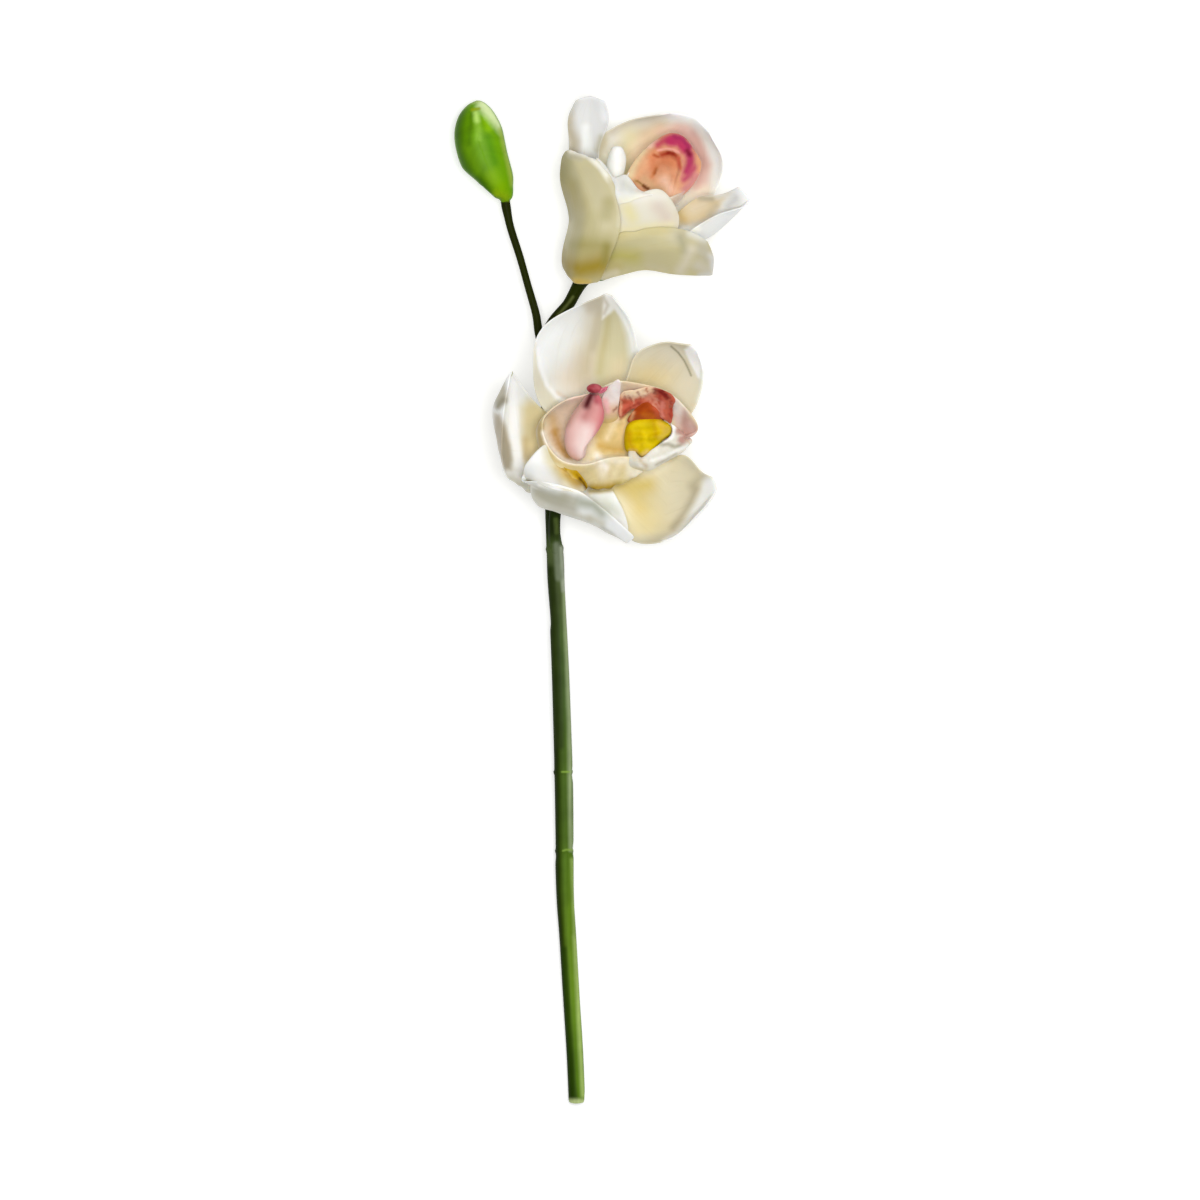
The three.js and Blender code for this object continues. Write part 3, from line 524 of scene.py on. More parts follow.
# %% Its front petal, whose olive back is seen
tepal("upper_petal_front", [(586, 269, 23.8), (577, 260, 33), (583, 210, 40.7), (572, 152, 33)], "#c3bb92", [
    # painted shade: a dark band down the left flank and darker bands between the folds, lighter on their crests
    ("#9c8f55", 0.95, along(4, 12, (560, 158), (563, 180), (568, 205), (570, 225))),
    ("#a99c63", 0.8, along(4, 10, (572, 186), (576, 206))),
    ("#bdb590", 0.8, along(4, 12, (590, 172), (598, 188), (604, 204))),
    ("#b5aa7a", 0.7, along(3, 12, (582, 204), (580, 222))),
    ("#c9c096", 0.8, along(3, 8, (570, 226), (572, 236))),
    ("#bbb384", 0.8, along(3, 9, (592, 216), (594, 230))),
    ("#a9a06e", 0.8, along(4, 8, (608, 204), (606, 216))),
    ("#a09658", 0.9, along(5, 15, (574, 246), (590, 246), (604, 246))),
    ("#9a8420", 0.97, along(7, 15, (566, 266), (580, 270), (600, 266))),
    ("#8c8238", 0.8, along(2, 7, (607, 248), (605, 262))),
    ("#8c7a20", 0.8, along(0.5, 6, (562, 250), (564, 266), (571, 278))),
    ("#d0b048", 0.95, along(2, 6, (574, 283), (588, 285))),
    ("#cdc6ac", 0.9, along(2, 5, (571, 155), (580, 158))),
    # a painted highlight on the lit upper rim, with painted shade just under it
    ("#f2efe2", 0.95, along(1.8, 4, (571, 151), (588, 156), (601, 168), (609, 180))),
    ("#cdc6a8", 0.95, along(1.2, 4, (609, 180), (616, 196), (620, 212), (619, 226))),
    ("#b9b294", 0.8, along(1.5, 4, (572, 157), (580, 160))),
], pulls=[
    ((588, 160, 38), (0.4, 1.3, 0), 5),
    ((598, 170, 39), (1.6, 1.6, 0), 6),
    ((607, 184, 40), (1.6, 0.8, 0), 6),
])

# %% The petal behind the lip, blushed round the hood
tepal("upper_petal_back", [(603, 263, 14.4), (620, 233, 5), (662, 158, 1.6), (693, 117, 16.6)], "#f6f2ea", [
    ("#cfc8b8", 0.9, along(3, 10, (612, 130), (630, 120), (652, 115))),
    ("#ebe0b8", 0.95, along(7, 14, (632, 138), (628, 150), (628, 170))),
    ("#dfcba8", 0.9, along(4, 12, (646, 134), (660, 128))),
    ("#fbdcbc", 0.95, along(5, 13, (638, 156), (646, 144), (656, 137))),
    ("#f6d2be", 0.9, along(3, 9, (662, 131), (676, 129))),
    ("#e6b8b0", 0.95, along(6, 15, (684, 134), (696, 146), (703, 164), (698, 186))),
    # painted shade inside the far edge of the hood
    ("#d8b0a8", 0.8, along(2, 9, (694, 134), (702, 148), (706, 164))),
    ("#ffffff", 0.97, within(8, (664, 111), (690, 109), (708, 116), (726, 156), (726, 186), (712, 190),
                             (713, 164), (703, 138), (692, 122), (672, 119))),
    # painted shadow at the petal's left, beside the strap
    ("#cfc8ae", 0.95, within(7, (596, 137), (606, 130), (609, 140), (606, 152), (606, 164), (594, 158))),
    ("#fbf8e6", 0.9, along(3, 8, (607, 156), (600, 172), (606, 184))),
    ("#f4e8d6", 0.8, along(2, 9, (704, 190), (684, 198))),
])

# %% The sepal that points to the right
tepal("upper_sepal_back", [(609, 277, 18.4), (644, 260, 14), (710, 235, 16.6), (748, 200, 26.6)], "#e6e7e6", [
    ("#dac79f", 0.95, within(7, (674, 200), (694, 196), (724, 198), (718, 208), (706, 220), (690, 225),
                             (672, 226))),
    ("#d9bf85", 0.9, along(2, 6, (677, 212), (684, 219))),
    ("#f0dcb2", 0.9, along(2, 5, (676, 203), (684, 202))),
    ("#fffdf4", 0.95, along(1.5, 4, (684, 229), (698, 229))),
    ("#e2d4bc", 0.8, along(3, 8, (694, 208), (704, 204))),
    # painted shade along the upper edge
    ("#bcb29a", 0.9, along(1.5, 4, (700, 198), (712, 199))),
    ("#dcd8cc", 0.9, along(1.5, 5, (718, 197), (728, 194))),
    ("#cbbfa4", 0.8, along(2, 5, (710, 213), (716, 206))),
    ("#cfd1d2", 0.8, along(2, 5, (728, 206), (736, 198))),
    ("#f3f4f4", 0.9, along(2, 5, (738, 190), (744, 199), (745, 208))),
])

# %% Its front sepal, seen from the back
tepal("upper_sepal_front", [(599, 278, 23.6), (617, 260, 32.4), (672, 250, 38.2), (713, 258, 33.6)], "#c0b88d", [
    ("#d0c592", 0.9, along(3, 8, (620, 237), (636, 232), (656, 230), (672, 232))),
    ("#c2bb9c", 0.9, along(5, 10, (676, 236), (688, 234))),
    ("#b3ab58", 0.95, along(2, 15, (608, 258), (620, 256), (634, 258))),
    ("#bcb077", 0.9, along(3, 7, (606, 268), (618, 266))),
    ("#d4cbb0", 0.8, along(2, 5, (604, 277), (616, 273))),
    # painted shade in a notch of the margin
    ("#9f9a7a", 0.85, along(1, 9, (680, 238), (685, 250))),
    ("#dcdbd2", 0.9, along(3, 6, (692, 233), (704, 240))),
    ("#b6b09a", 0.95, along(5, 9, (702, 250), (707, 256))),
    ("#c6c0ae", 0.9, along(3, 7, (698, 266), (706, 270))),
    ("#c9c5b9", 0.9, along(1.5, 5, (710, 256), (713, 270))),
    ("#d3ccba", 0.8, along(1.5, 9, (691, 250), (686, 262), (680, 271))),
    ("#c5bd9a", 0.8, along(2, 6, (650, 267), (664, 270))),
    ("#c8c8c4", 0.9, along(1.5, 4, (713, 258), (713, 274), (700, 276))),
], pulls=[((623, 241, 35), (-1.8, 2.4, 0), 6)])

# %% [markdown]
# ## Velvety lip
# The lip is the flower's landing stage. Its skin is a pile of tiny blunt hairs, so it looks softer and
# deeper in colour than the waxy petals, and its pigment is broken into dots and smears. Real hairs would be
# too fine to see, so a fine bump and a stronger sheen give the pile, and a noise in the pigment breaks up the
# painted marks.

# %% The lip's skin
# a pile of blunt hairs, grown: no gloss, a soft light along every edge, and colour in smears
velvet_lip, tree, pigment_and_painted_light = painted_material("velvety_lip_skin")
place = add(tree, "TexCoord").outputs["Object"]
# tufts of hairs 0.6 mm wide, and smears 4 mm long that break up into finer ones
pile = add(tree, "TexNoise", {"Vector": place, "Scale": 1600.0, "Detail": 2.0})
smear = add(tree, "TexNoise", {"Vector": place, "Scale": 260.0, "Detail": 4.0, "Roughness": 0.6})
mottled = shaded(tree, pigment_and_painted_light, smear.outputs["Fac"], 0.92, 1.06)
nap = add(tree, "Bump", {"Height": pile.outputs["Fac"], "Strength": 0.35, "Distance": 0.00015})
skin = add(tree, "BsdfPrincipled", {
    "Base Color": mottled, "Normal": nap.outputs["Normal"], "Roughness": 0.52, "IOR": 1.4,
    "Specular IOR Level": 0.1, "Subsurface Weight": 0.2, "Subsurface Radius": (1.0, 0.6, 0.4),
    "Subsurface Scale": 0.001, "Sheen Weight": 0.4, "Sheen Roughness": 0.4})
add(tree, "OutputMaterial", {"Surface": skin.outputs["BSDF"]})
print("velvety lip skin has", len(tree.nodes), "nodes")

# %% [markdown]
# ## The lower lip
# A cup of peach and cream with a pale rolled rim. Inside it has a warm floor, a red back wall and a mauve
# lobe at its right end. Outside, under the rim, a deep ochre crevice runs down where the side lobe meets the
# middle lobe. All of it is one piece of skin, so it is one rounded copy with many marks. Some of them are
# painted light: shade where the floor meets the front wall and on the inside of the left lobe, a dark line
# of painted shadow along the foot of the outer wall, and painted highlights on the rim and the outer wall.
# Its outer wall is first pulled outwards and down, because a grown cup bulges there.

# %% The lower lip's wall
LIP_TRIM = 0.2         # millimetres that a lip's wall loses on each side

lower_lip = grown_copy("lower_lip", thinner=LIP_TRIM)
for place in ((590, 478, 33), (602, 482, 31.5), (614, 480, 31.4), (626, 477, 31)):
    pull(lower_lip, place, by=(0.2, -2.4, -1.6), reach=5.5)
pull(lower_lip, (640, 470, 33), by=(0.4, -1.6, -1), reach=5)

# %% The lower lip's tints
paint(lower_lip, "#e6dab4", [
    ("#dcc07a", 0.95, within(10, (598, 398), (626, 404), (640, 430), (632, 456), (600, 456), (590, 430))),
    ("#ecd090", 0.9, along(3, 8, (612, 420), (620, 436))),
    ("#f4e2b8", 0.9, along(1, 6, (622, 412), (614, 424), (607, 438))),
    # painted shade where the floor meets the front wall
    ("#cfa850", 0.8, along(1, 6, (600, 446), (612, 449), (622, 450))),
    ("#fbdc9c", 0.9, along(1.5, 4, (624, 416), (625, 432))),
    ("#e2ccb4", 0.95, within(10, (552, 404), (590, 388), (592, 440), (580, 462), (560, 458), (545, 436))),
    ("#fcdccc", 0.9, along(3, 8, (572, 398), (584, 392))),
    # painted shade on the inside of the left lobe's wall
    ("#d2b484", 0.9, along(3, 7, (552, 418), (556, 430))),
    ("#b98a3c", 0.95, along(1.5, 7, (555, 432), (560, 446), (568, 457))),
    ("#c9b078", 0.95, along(2.5, 4, (539, 420), (539.5, 432), (541, 446))),
    ("#fff4e4", 0.97, along(1.6, 2.6, (543.5, 433), (546.5, 441), (553, 451), (563, 461), (576, 464.5),
                            (594, 463))),
    ("#d8c080", 0.9, along(1, 3.5, (547, 449), (556, 461), (568, 467), (582, 469))),
    ("#ecd0ae", 0.95, within(8, (620, 382), (640, 382), (664, 390), (662, 396), (640, 400), (622, 398))),
    ("#ffdcc0", 0.9, along(2.5, 5, (608, 410), (614, 417))),
    ("#fdf2ee", 0.95, within(5, (600, 392), (612, 384), (621, 382), (620, 398), (610, 414), (602, 410))),
    ("#b4664a", 0.95, within(2, (619, 396), (640, 398), (653, 390), (668, 392), (675, 406), (672, 420),
                             (660, 420), (646, 408), (634, 410), (620, 420))),
    ("#f4e6dc", 0.95, within(7, (671, 394), (680, 400), (688, 414), (678, 424), (671, 412))),
    ("#c89c90", 0.97, within(7, (684, 410), (690, 418), (700, 430), (690, 442), (678, 442), (678, 424))),
    ("#e8ccc0", 0.9, along(1.5, 5, (676, 418), (678, 428))),
    ("#d8b8ae", 0.8, along(1, 5, (690, 424), (694, 434))),
    ("#ffffff", 0.97, within(4, (664, 428), (672, 430), (676, 440), (660, 450), (648, 458), (640, 464),
                             (636, 460), (650, 448), (666, 438))),
    ("#dcca96", 0.95, within(8, (566, 468), (600, 464), (630, 462), (626, 480), (610, 490), (584, 488))),
    ("#f2e8d0", 0.95, within(7, (626, 464), (644, 462), (650, 474), (630, 484))),
    # painted highlights on the outer wall
    ("#f2e8d2", 0.8, along(1.5, 8, (600, 466), (603, 475))),
    ("#f0e2bc", 0.7, along(1.5, 7, (618, 465), (614, 475))),
    # a painted shadow line along the foot of the outer wall
    ("#b08e08", 0.95, along(2, 5, (592, 488), (606, 488), (618, 485))),
    ("#7c6400", 0.95, along(0.8, 2.5, (586, 488), (597, 491), (607, 491), (616, 487.5))),
    ("#c8b464", 0.8, along(1, 4, (618, 484), (632, 480))),
    # a painted highlight on the rim
    ("#fbf4e6", 0.97, along(2, 5, (597, 456), (602, 461), (606, 468))),
    ("#f0e6cc", 0.9, along(2, 4, (606, 460), (620, 461), (634, 459))),
    ("#e2d6a8", 0.9, along(2, 4, (630, 455), (634, 466))),
], "#c6b57c", ragged=1.0)
dress(lower_lip, velvet_lip)

# %% [markdown]
# ## Lobes and folds of the lip
# Round a cymbidium's lip stand thin folds: two side lobes, a frilled margin, and keels with a crest behind
# the callus. They are too thin and loose to be solids of their own. Each is drawn point by point, as a petal
# would be: a small grid is laid down, every point is moved to its place, the sheet gets its thickness, and it
# is rounded. A crumpled fold is pushed in and out by a fine noise as well. The foot petal's shoulder, which
# stands up beside the lip, and the ochre crevice under it are made the same way.

# %% A sheet drawn point by point
CREASE = 0.0035        # the size of one crease of a crumpled fold, in metres
GRID_SIDE = 0.01       # the grid's side before its points are moved, in metres


def fold(name, skin, rows, ground, marks, underside, thickness=0.5, crumple=0.0, ragged=0.6):
    """A fold of tissue. Rows hold points of (column, row, height); thickness and crumple are in millimetres."""
    across = len(rows[0])
    bpy.ops.object.select_all(action="DESELECT")
    bpy.ops.mesh.primitive_grid_add(x_subdivisions=across - 1, y_subdivisions=len(rows) - 1, size=GRID_SIDE)
    piece = bpy.context.active_object
    piece.name = name
    bpy.ops.object.mode_set(mode="EDIT")
    for k, wanted in enumerate(on_paper(*point) for row in rows for point in row):
        bpy.ops.mesh.select_all(action="DESELECT")
        sheet = bmesh.from_edit_mesh(piece.data)
        sheet.verts.ensure_lookup_table()
        sheet.verts[k].select = True
        bpy.ops.transform.translate(value=wanted - sheet.verts[k].co)
    bpy.ops.object.mode_set(mode="OBJECT")
    solid = piece.modifiers.new("thickness", "SOLIDIFY")
    solid.thickness = thickness / 1000
    solid.offset = 0
    bpy.ops.object.modifier_apply(modifier=solid.name)
    round_through_points(piece)
    if crumple:
        texture = bpy.data.textures.new(name + "_creases", "CLOUDS")
        texture.noise_scale = CREASE
        push = piece.modifiers.new("creases", "DISPLACE")
        push.texture = texture
        push.strength = crumple / 1000
        bpy.ops.object.modifier_apply(modifier=push.name)
    paint(piece, ground, marks, underside, ragged)
    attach(piece, "root")
    dress(piece, skin)
    print(name, "has", len(piece.data.polygons), "faces")
    return piece


# %% The foot petal's shoulder
fold("lower_foot_shoulder", waxy_skin, [
    [(528, 462, 40), (526, 466, 40), (525, 471, 39.6), (525, 478, 38.6)],
    [(534, 455, 40.2), (533.5, 463, 40.6), (533, 470, 42), (532.5, 479.5, 43.8)],
    [(541, 449, 40.4), (542, 459, 40), (542, 470, 41.4), (542, 483, 46)],
    [(546.5, 447, 40.6), (549, 458, 39.4), (551, 470, 40), (553, 487, 46)],
    [(551.5, 454, 40), (555, 463, 38.9), (558, 473, 39.2), (563, 489, 45.8)],
    [(557, 460, 39.7), (561, 467.5, 38.7), (565, 476, 38.8), (571, 490, 45.2)],
    [(562.5, 464.5, 39.5), (567, 471.5, 38.4), (572, 479, 38), (578, 490.5, 42)],
    [(568, 467, 38.8), (573.5, 472.5, 37.8), (579, 479, 36.8), (585, 488.5, 36.5)],
], "#eeeeea", [
    ("#d6ccaa", 0.97, within(8, (542, 444), (545, 462), (556, 478), (564, 490), (592, 496), (576, 466),
                             (556, 454))),
    ("#f4ecd2", 0.95, along(2, 6, (566, 484), (574, 489))),
    ("#ecdca4", 0.9, along(2, 5, (563, 474), (572, 482))),
    # the crevice beside the shoulder: ochre, darkening to painted shade deep in the groove
    ("#c09a2c", 0.95, along(1.5, 7, (560, 466), (568, 475), (577, 484))),
    ("#a07a00", 0.97, along(1, 5, (567, 467), (575, 475), (581, 483))),
    ("#6a4c00", 0.97, along(1, 3, (577, 475), (582, 481), (586, 488))),
    # painted shade along the lower left edge
    ("#c4c2b0", 0.8, along(1, 7, (524, 478), (534, 482), (546, 488))),
], thickness=0.6, underside="#b9b59c")

# %% The crevice beside the shoulder
# the crevice is ochre, and its dark brown core is painted shade deep in the groove
fold("lower_lip_crevice", velvet_lip, [
    [(563, 461.5, 40.2), (562, 463, 39.9), (561.5, 464.5, 39.6)],
    [(569.5, 465.5, 39.8), (567.5, 467.5, 39.5), (565.5, 469.5, 39.2)],
    [(575.5, 470, 39), (573, 472.5, 38.6), (570, 475, 38.4)],
    [(580.5, 475.5, 37.8), (578, 478, 37.5), (575, 480.5, 37.6)],
    [(585, 481.5, 37), (582, 483.5, 36.8), (579.5, 485.5, 37)],
    [(587.5, 486.5, 36.2), (586, 488.5, 36), (584, 490, 36.2)],
], "#bc960e", [
    ("#ccae50", 0.95, along(1.5, 3, (560, 461), (567, 465), (572, 469))),
    ("#946e00", 0.9, along(0.5, 3, (577, 475), (581, 480))),
    ("#5c3e00", 0.97, along(0.8, 2.5, (580, 479), (583.5, 483), (586, 488))),
    ("#cdb468", 0.9, along(0.6, 2.5, (568, 472), (573, 478), (580, 486))),
], thickness=0.4, underside="#a88206")

# %% The lip's side lobe, beside the column
fold("lower_lip_side_lobe", velvet_lip, [
    [(603, 426, 28.6), (610, 426, 28.8), (617, 423, 29.6)],
    [(602, 412, 34.4), (609, 412, 34.6), (617, 410, 35.2)],
    [(602, 402, 38.2), (609, 401, 38.6), (618, 401, 38.9)],
    [(605, 393, 41.4), (611, 392, 42.4), (619, 393, 42.4)],
    [(611, 385, 45.4), (615.5, 384, 46.4), (620, 385.5, 46)],
    [(616, 381, 47.4), (618, 380.5, 47.8), (620, 382, 47.4)],
], "#f8eae4", [
    ("#fff8f4", 0.9, along(2, 5, (614, 388), (615, 396))),
    ("#f6b8b6", 0.95, along(1.5, 5, (605, 402), (607, 411))),
    ("#ecc6a6", 0.95, within(6, (597, 408), (620, 404), (622, 418), (597, 420))),
    ("#dcc07a", 0.95, within(6, (596, 419), (622, 415), (622, 430), (598, 430))),
    ("#ffc4c4", 0.95, along(1.5, 4, (605, 402), (607.5, 411))),
    ("#a8705a", 0.95, along(0.6, 1.5, (613.5, 411), (617, 407.5))),
], underside="#dcc4b8")

# %% The frill at the lip's right end
fold("lower_lip_frill", velvet_lip, [
    [(630, 450, 34.6), (629, 456, 36.2), (629.5, 462, 36.2), (630, 467, 34)],
    [(635, 452, 35.6), (635.5, 458, 37.2), (637, 464, 36.8), (638, 469.5, 34.6)],
    [(641, 458.5, 35.8), (643.5, 462.5, 37.6), (646, 466, 37), (648, 470.5, 35)],
    [(648, 454, 37.6), (652, 457.5, 38.2), (656, 461, 37.4), (659, 465, 35.6)],
    [(656, 447.5, 38), (661, 451.5, 38.6), (666, 455.5, 37.6), (670, 459, 36)],
    [(664, 442.5, 38.2), (669, 446, 38.2), (675, 449.5, 38), (681, 452.5, 36.4)],
    [(671, 437, 38.8), (675, 440.5, 39.4), (682, 444, 38.8), (688, 446, 37.2)],
    [(673, 430, 38.8), (678, 434, 39.4), (684, 437.5, 39), (691, 440.5, 37.6)],
    [(670, 423.5, 38.6), (674, 426, 38.8), (680, 431, 38.8), (687, 436, 37.6)],
], "#dedacb", [
    # painted highlights on the ridges of the frill, and painted shade in its creases
    ("#ffffff", 0.97, along(2.5, 3.5, (672, 429), (670, 436), (662, 441))),
    ("#ece8dc", 0.9, along(2, 4, (656, 449), (648, 456), (640, 465))),
    ("#aaa48e", 0.9, along(1, 3, (661, 445), (668, 444.5), (674, 447), (680, 446))),
    ("#f8f6ee", 0.9, along(1, 3, (652, 461), (664, 457), (675, 452), (687, 446.5))),
    ("#b8b09c", 0.8, along(0.5, 2, (656, 465), (666, 460), (676, 454))),
    ("#c9b99a", 0.8, along(1, 3, (640, 461), (646, 466))),
    ("#dcd2b8", 0.8, along(1, 4, (632, 453), (635, 460))),
    ("#b68c80", 0.95, along(3.5, 4, (680, 431), (689, 436), (682, 440))),
    ("#d8c898", 0.8, along(1, 4, (634, 469), (646, 471))),
], thickness=0.6, crumple=0.6, underside="#d3cbb2")

# %% The crumpled red crest
fold("lower_lip_crest", velvet_lip, [
    [(620, 418, 36), (620, 410, 37), (620.5, 402, 38.6), (621, 394, 41.8)],
    [(628, 411, 37.4), (628, 406, 38.4), (629, 400, 39.8), (630, 392, 43.6)],
    [(636, 408, 38.8), (637, 403, 40), (638, 398, 41.4), (640, 390, 45.4)],
    [(644, 406, 40.2), (645, 401, 41.6), (646, 396, 43.4), (649, 389, 47)],
    [(652, 407, 41), (654, 401, 43), (655, 395, 45), (658, 390, 47.7)],
    [(660, 414, 40.2), (661, 405, 43), (662, 398, 45.6), (665, 392.5, 48)],
    [(667, 420, 39.8), (668, 410, 42.6), (669, 402, 45.2), (671, 396.5, 47.8)],
    [(671, 423, 39.6), (672, 414, 42.4), (673, 406, 45), (674.5, 401, 47)],
], "#c05e46", [
    ("#fce0bc", 0.97, within(5, (619, 386), (645, 382), (654, 388), (648, 396), (636, 399), (619, 397))),
    ("#e8c09c", 0.9, along(1.5, 4, (646, 390), (654, 391))),
    ("#a8482c", 0.9, along(1, 3, (622, 402), (630, 404), (640, 399))),
    ("#e0a080", 0.9, along(0.8, 2, (620, 399), (621, 408), (620, 416))),
    ("#c8604a", 0.9, along(1, 3, (625, 406), (630, 404), (638, 402))),
    ("#9c3a28", 0.8, along(0.6, 2, (624, 413), (629, 408), (634, 406), (640, 403))),
    ("#dc8a70", 0.95, along(1.5, 3, (646, 399), (652, 397), (656, 401))),
    ("#7a1410", 0.97, along(1.8, 3, (655, 391), (662, 393), (667, 398))),
    ("#a83a2c", 0.9, along(1, 3, (659, 397), (662, 402))),
    ("#e0957a", 0.9, along(0.5, 2, (650, 402), (656, 409))),
    ("#dc8474", 0.9, along(1.2, 3, (662, 403), (661, 411), (663, 416))),
    ("#a8382a", 0.9, along(0.8, 3, (671, 402), (671, 416))),
    ("#8c2c1e", 0.8, along(0.3, 1.5, (628, 396), (632, 401))),
    ("#8c2c1e", 0.8, along(0.3, 1.5, (638, 393), (641, 399))),
    ("#a4462e", 0.8, along(0.3, 1.5, (646, 390), (648, 395))),
    ("#d88c78", 0.8, along(0.3, 1.5, (655, 399), (658, 405), (659, 411))),
    ("#e2b090", 0.8, along(0.3, 1.5, (633, 397), (634, 403))),
    ("#8c2c1e", 0.7, along(0.3, 1.5, (624, 395), (626, 400))),
], thickness=0.6, crumple=1.1, underside="#a8553f", ragged=2.2)

# %% The keel behind the cushion
# its deep orange is partly its tint and partly painted shade of the hollow behind the cushion
fold("lower_lip_keel", velvet_lip, [
    [(629, 422, 34.6), (645, 422, 36), (664, 421, 36)],
    [(632, 415, 38.4), (645, 413, 40.6), (661, 414, 40)],
    [(636, 409, 39.4), (646, 407, 41.4), (656, 408, 41.4)],
    [(641, 404.5, 40.4), (647, 402.5, 41.8), (652, 404, 41.6)],
], "#a8440a", [
    ("#e6ac7c", 0.9, along(0.5, 3, (631, 420), (633, 413))),
    ("#c0600e", 0.9, along(2, 4, (644, 415), (652, 418))),
    ("#923404", 0.8, along(1, 4, (638, 410), (646, 405))),
    ("#c25636", 0.9, along(2, 4, (655, 408), (660, 416))),
], crumple=0.3, underside="#a84a1a")

# %% [markdown]
# ## The yellow cushion
# On the lip's floor lies the callus, two fleshy keels of bright yellow that guide a bee to the column. Its
# skin is grained like a raspberry, so the bump is coarse and the gloss low. Subdivision would keep the sharp
# groove between the keels, so the copy is remeshed into small even faces as well, and smoothing rounds them.

# %% The callus skin
# fleshy grains, grown: matt, with the light broken on every grain
callus_skin, tree, pigment_and_painted_light = painted_material("grained_callus_skin")
place = add(tree, "TexCoord").outputs["Object"]
# grains 1.1 mm wide, and patches of colour 3 mm wide
grains = add(tree, "TexVoronoi", {"Vector": place, "Scale": 900.0})
smear = add(tree, "TexNoise", {"Vector": place, "Scale": 300.0, "Detail": 3.0})
mottled = shaded(tree, pigment_and_painted_light, smear.outputs["Fac"], 0.88, 1.08)
grained = add(tree, "Bump", {"Height": grains.outputs["Distance"], "Strength": 0.22, "Distance": 0.0003},
              invert=True)
skin = add(tree, "BsdfPrincipled", {
    "Base Color": mottled, "Normal": grained.outputs["Normal"], "Roughness": 0.55, "IOR": 1.4,
    "Specular IOR Level": 0.08, "Subsurface Weight": 0.1, "Subsurface Radius": (1.0, 0.8, 0.2),
    "Subsurface Scale": 0.0008})
add(tree, "OutputMaterial", {"Surface": skin.outputs["BSDF"]})
print("grained callus skin has", len(tree.nodes), "nodes")

# %% The lower cushion
SWELL = 0.45           # millimetres put on first, because the smoothing takes about as much off
VOXEL = 0.00035        # the side of a remeshed face, in metres

lower_callus = grown_copy("lower_callus", thinner=-SWELL)
lower_callus.data.remesh_voxel_size = VOXEL
bpy.ops.object.voxel_remesh()
bpy.ops.object.mode_set(mode="EDIT")
bpy.ops.mesh.select_all(action="SELECT")
bpy.ops.mesh.vertices_smooth(factor=0.5, repeat=12)
bpy.ops.object.mode_set(mode="OBJECT")
bpy.ops.object.shade_smooth()
print("the remeshed cushion has", len(lower_callus.data.polygons), "faces")
paint(lower_callus, "#d2b600", [
    ("#bc9404", 0.7, along(1, 4, (653, 421), (655, 430), (656, 437))),
    ("#bfa200", 0.5, along(0.8, 5, (640, 434), (642, 446))),
    ("#d6b23a", 0.95, along(2, 4, (660, 424), (665, 430))),
    ("#cdb040", 0.9, along(1.5, 4, (668, 430), (661, 438))),
    # darker orange on the left flank, partly its tint and partly painted shade
    ("#c09404", 0.95, along(1, 5, (629, 434), (630, 444), (634, 450))),
    ("#d8b45c", 0.95, along(1, 3, (630, 451), (636, 452))),
    ("#dcbc6c", 0.95, along(1.5, 4, (641, 457), (647, 453))),
    # painted highlights on the tops of the keels
    ("#e4ca10", 0.8, along(2, 5, (634, 426), (644, 424))),
    ("#e0c608", 0.8, along(1.5, 5, (646, 434), (648, 444))),
], "#b08c10", ragged=0.8)
dress(lower_callus, callus_skin)

# %% [markdown]
# ## The column and its cap
# The column is the orchid's fused style and stamens, a waxy pink tongue that arches over the lip. The anther
# cap, a small crimson knob with a wing at its side, closes its tip. Both are firm and glossy, so they take
# the petal's wax with less roughness. The column is pulled slimmer along its right side and at its foot,
# where it stands free of the lip.

# %% The column's wax
# firm wax over fused tissue, grown: smoother than a petal; the soft highlight along a column's back is painted
# into its colour
column_wax, tree, pigment_and_painted_light = painted_material("glossy_column_wax")
place = add(tree, "TexCoord").outputs["Object"]
# clouds of pink 4.5 mm wide, and cells 0.7 mm wide, which are coarser than real ones so that they show
cloud = add(tree, "TexNoise", {"Vector": place, "Scale": 220.0, "Detail": 3.0})
mottled = shaded(tree, pigment_and_painted_light, cloud.outputs["Fac"], 0.94, 1.05, low=0.0, high=1.0)
cells = add(tree, "TexNoise", {"Vector": place, "Scale": 1500.0, "Detail": 1.0})
relief = add(tree, "Bump", {"Height": cells.outputs["Fac"], "Strength": 0.15, "Distance": 0.0001})
skin = add(tree, "BsdfPrincipled", {
    "Base Color": mottled, "Normal": relief.outputs["Normal"], "Roughness": 0.4, "IOR": 1.42,
    "Specular IOR Level": 0.2, "Subsurface Weight": 0.2, "Subsurface Radius": (1.0, 0.5, 0.4),
    "Subsurface Scale": 0.0012, "Sheen Weight": 0.25, "Sheen Roughness": 0.4})
add(tree, "OutputMaterial", {"Surface": skin.outputs["BSDF"]})
print("glossy column wax has", len(tree.nodes), "nodes")

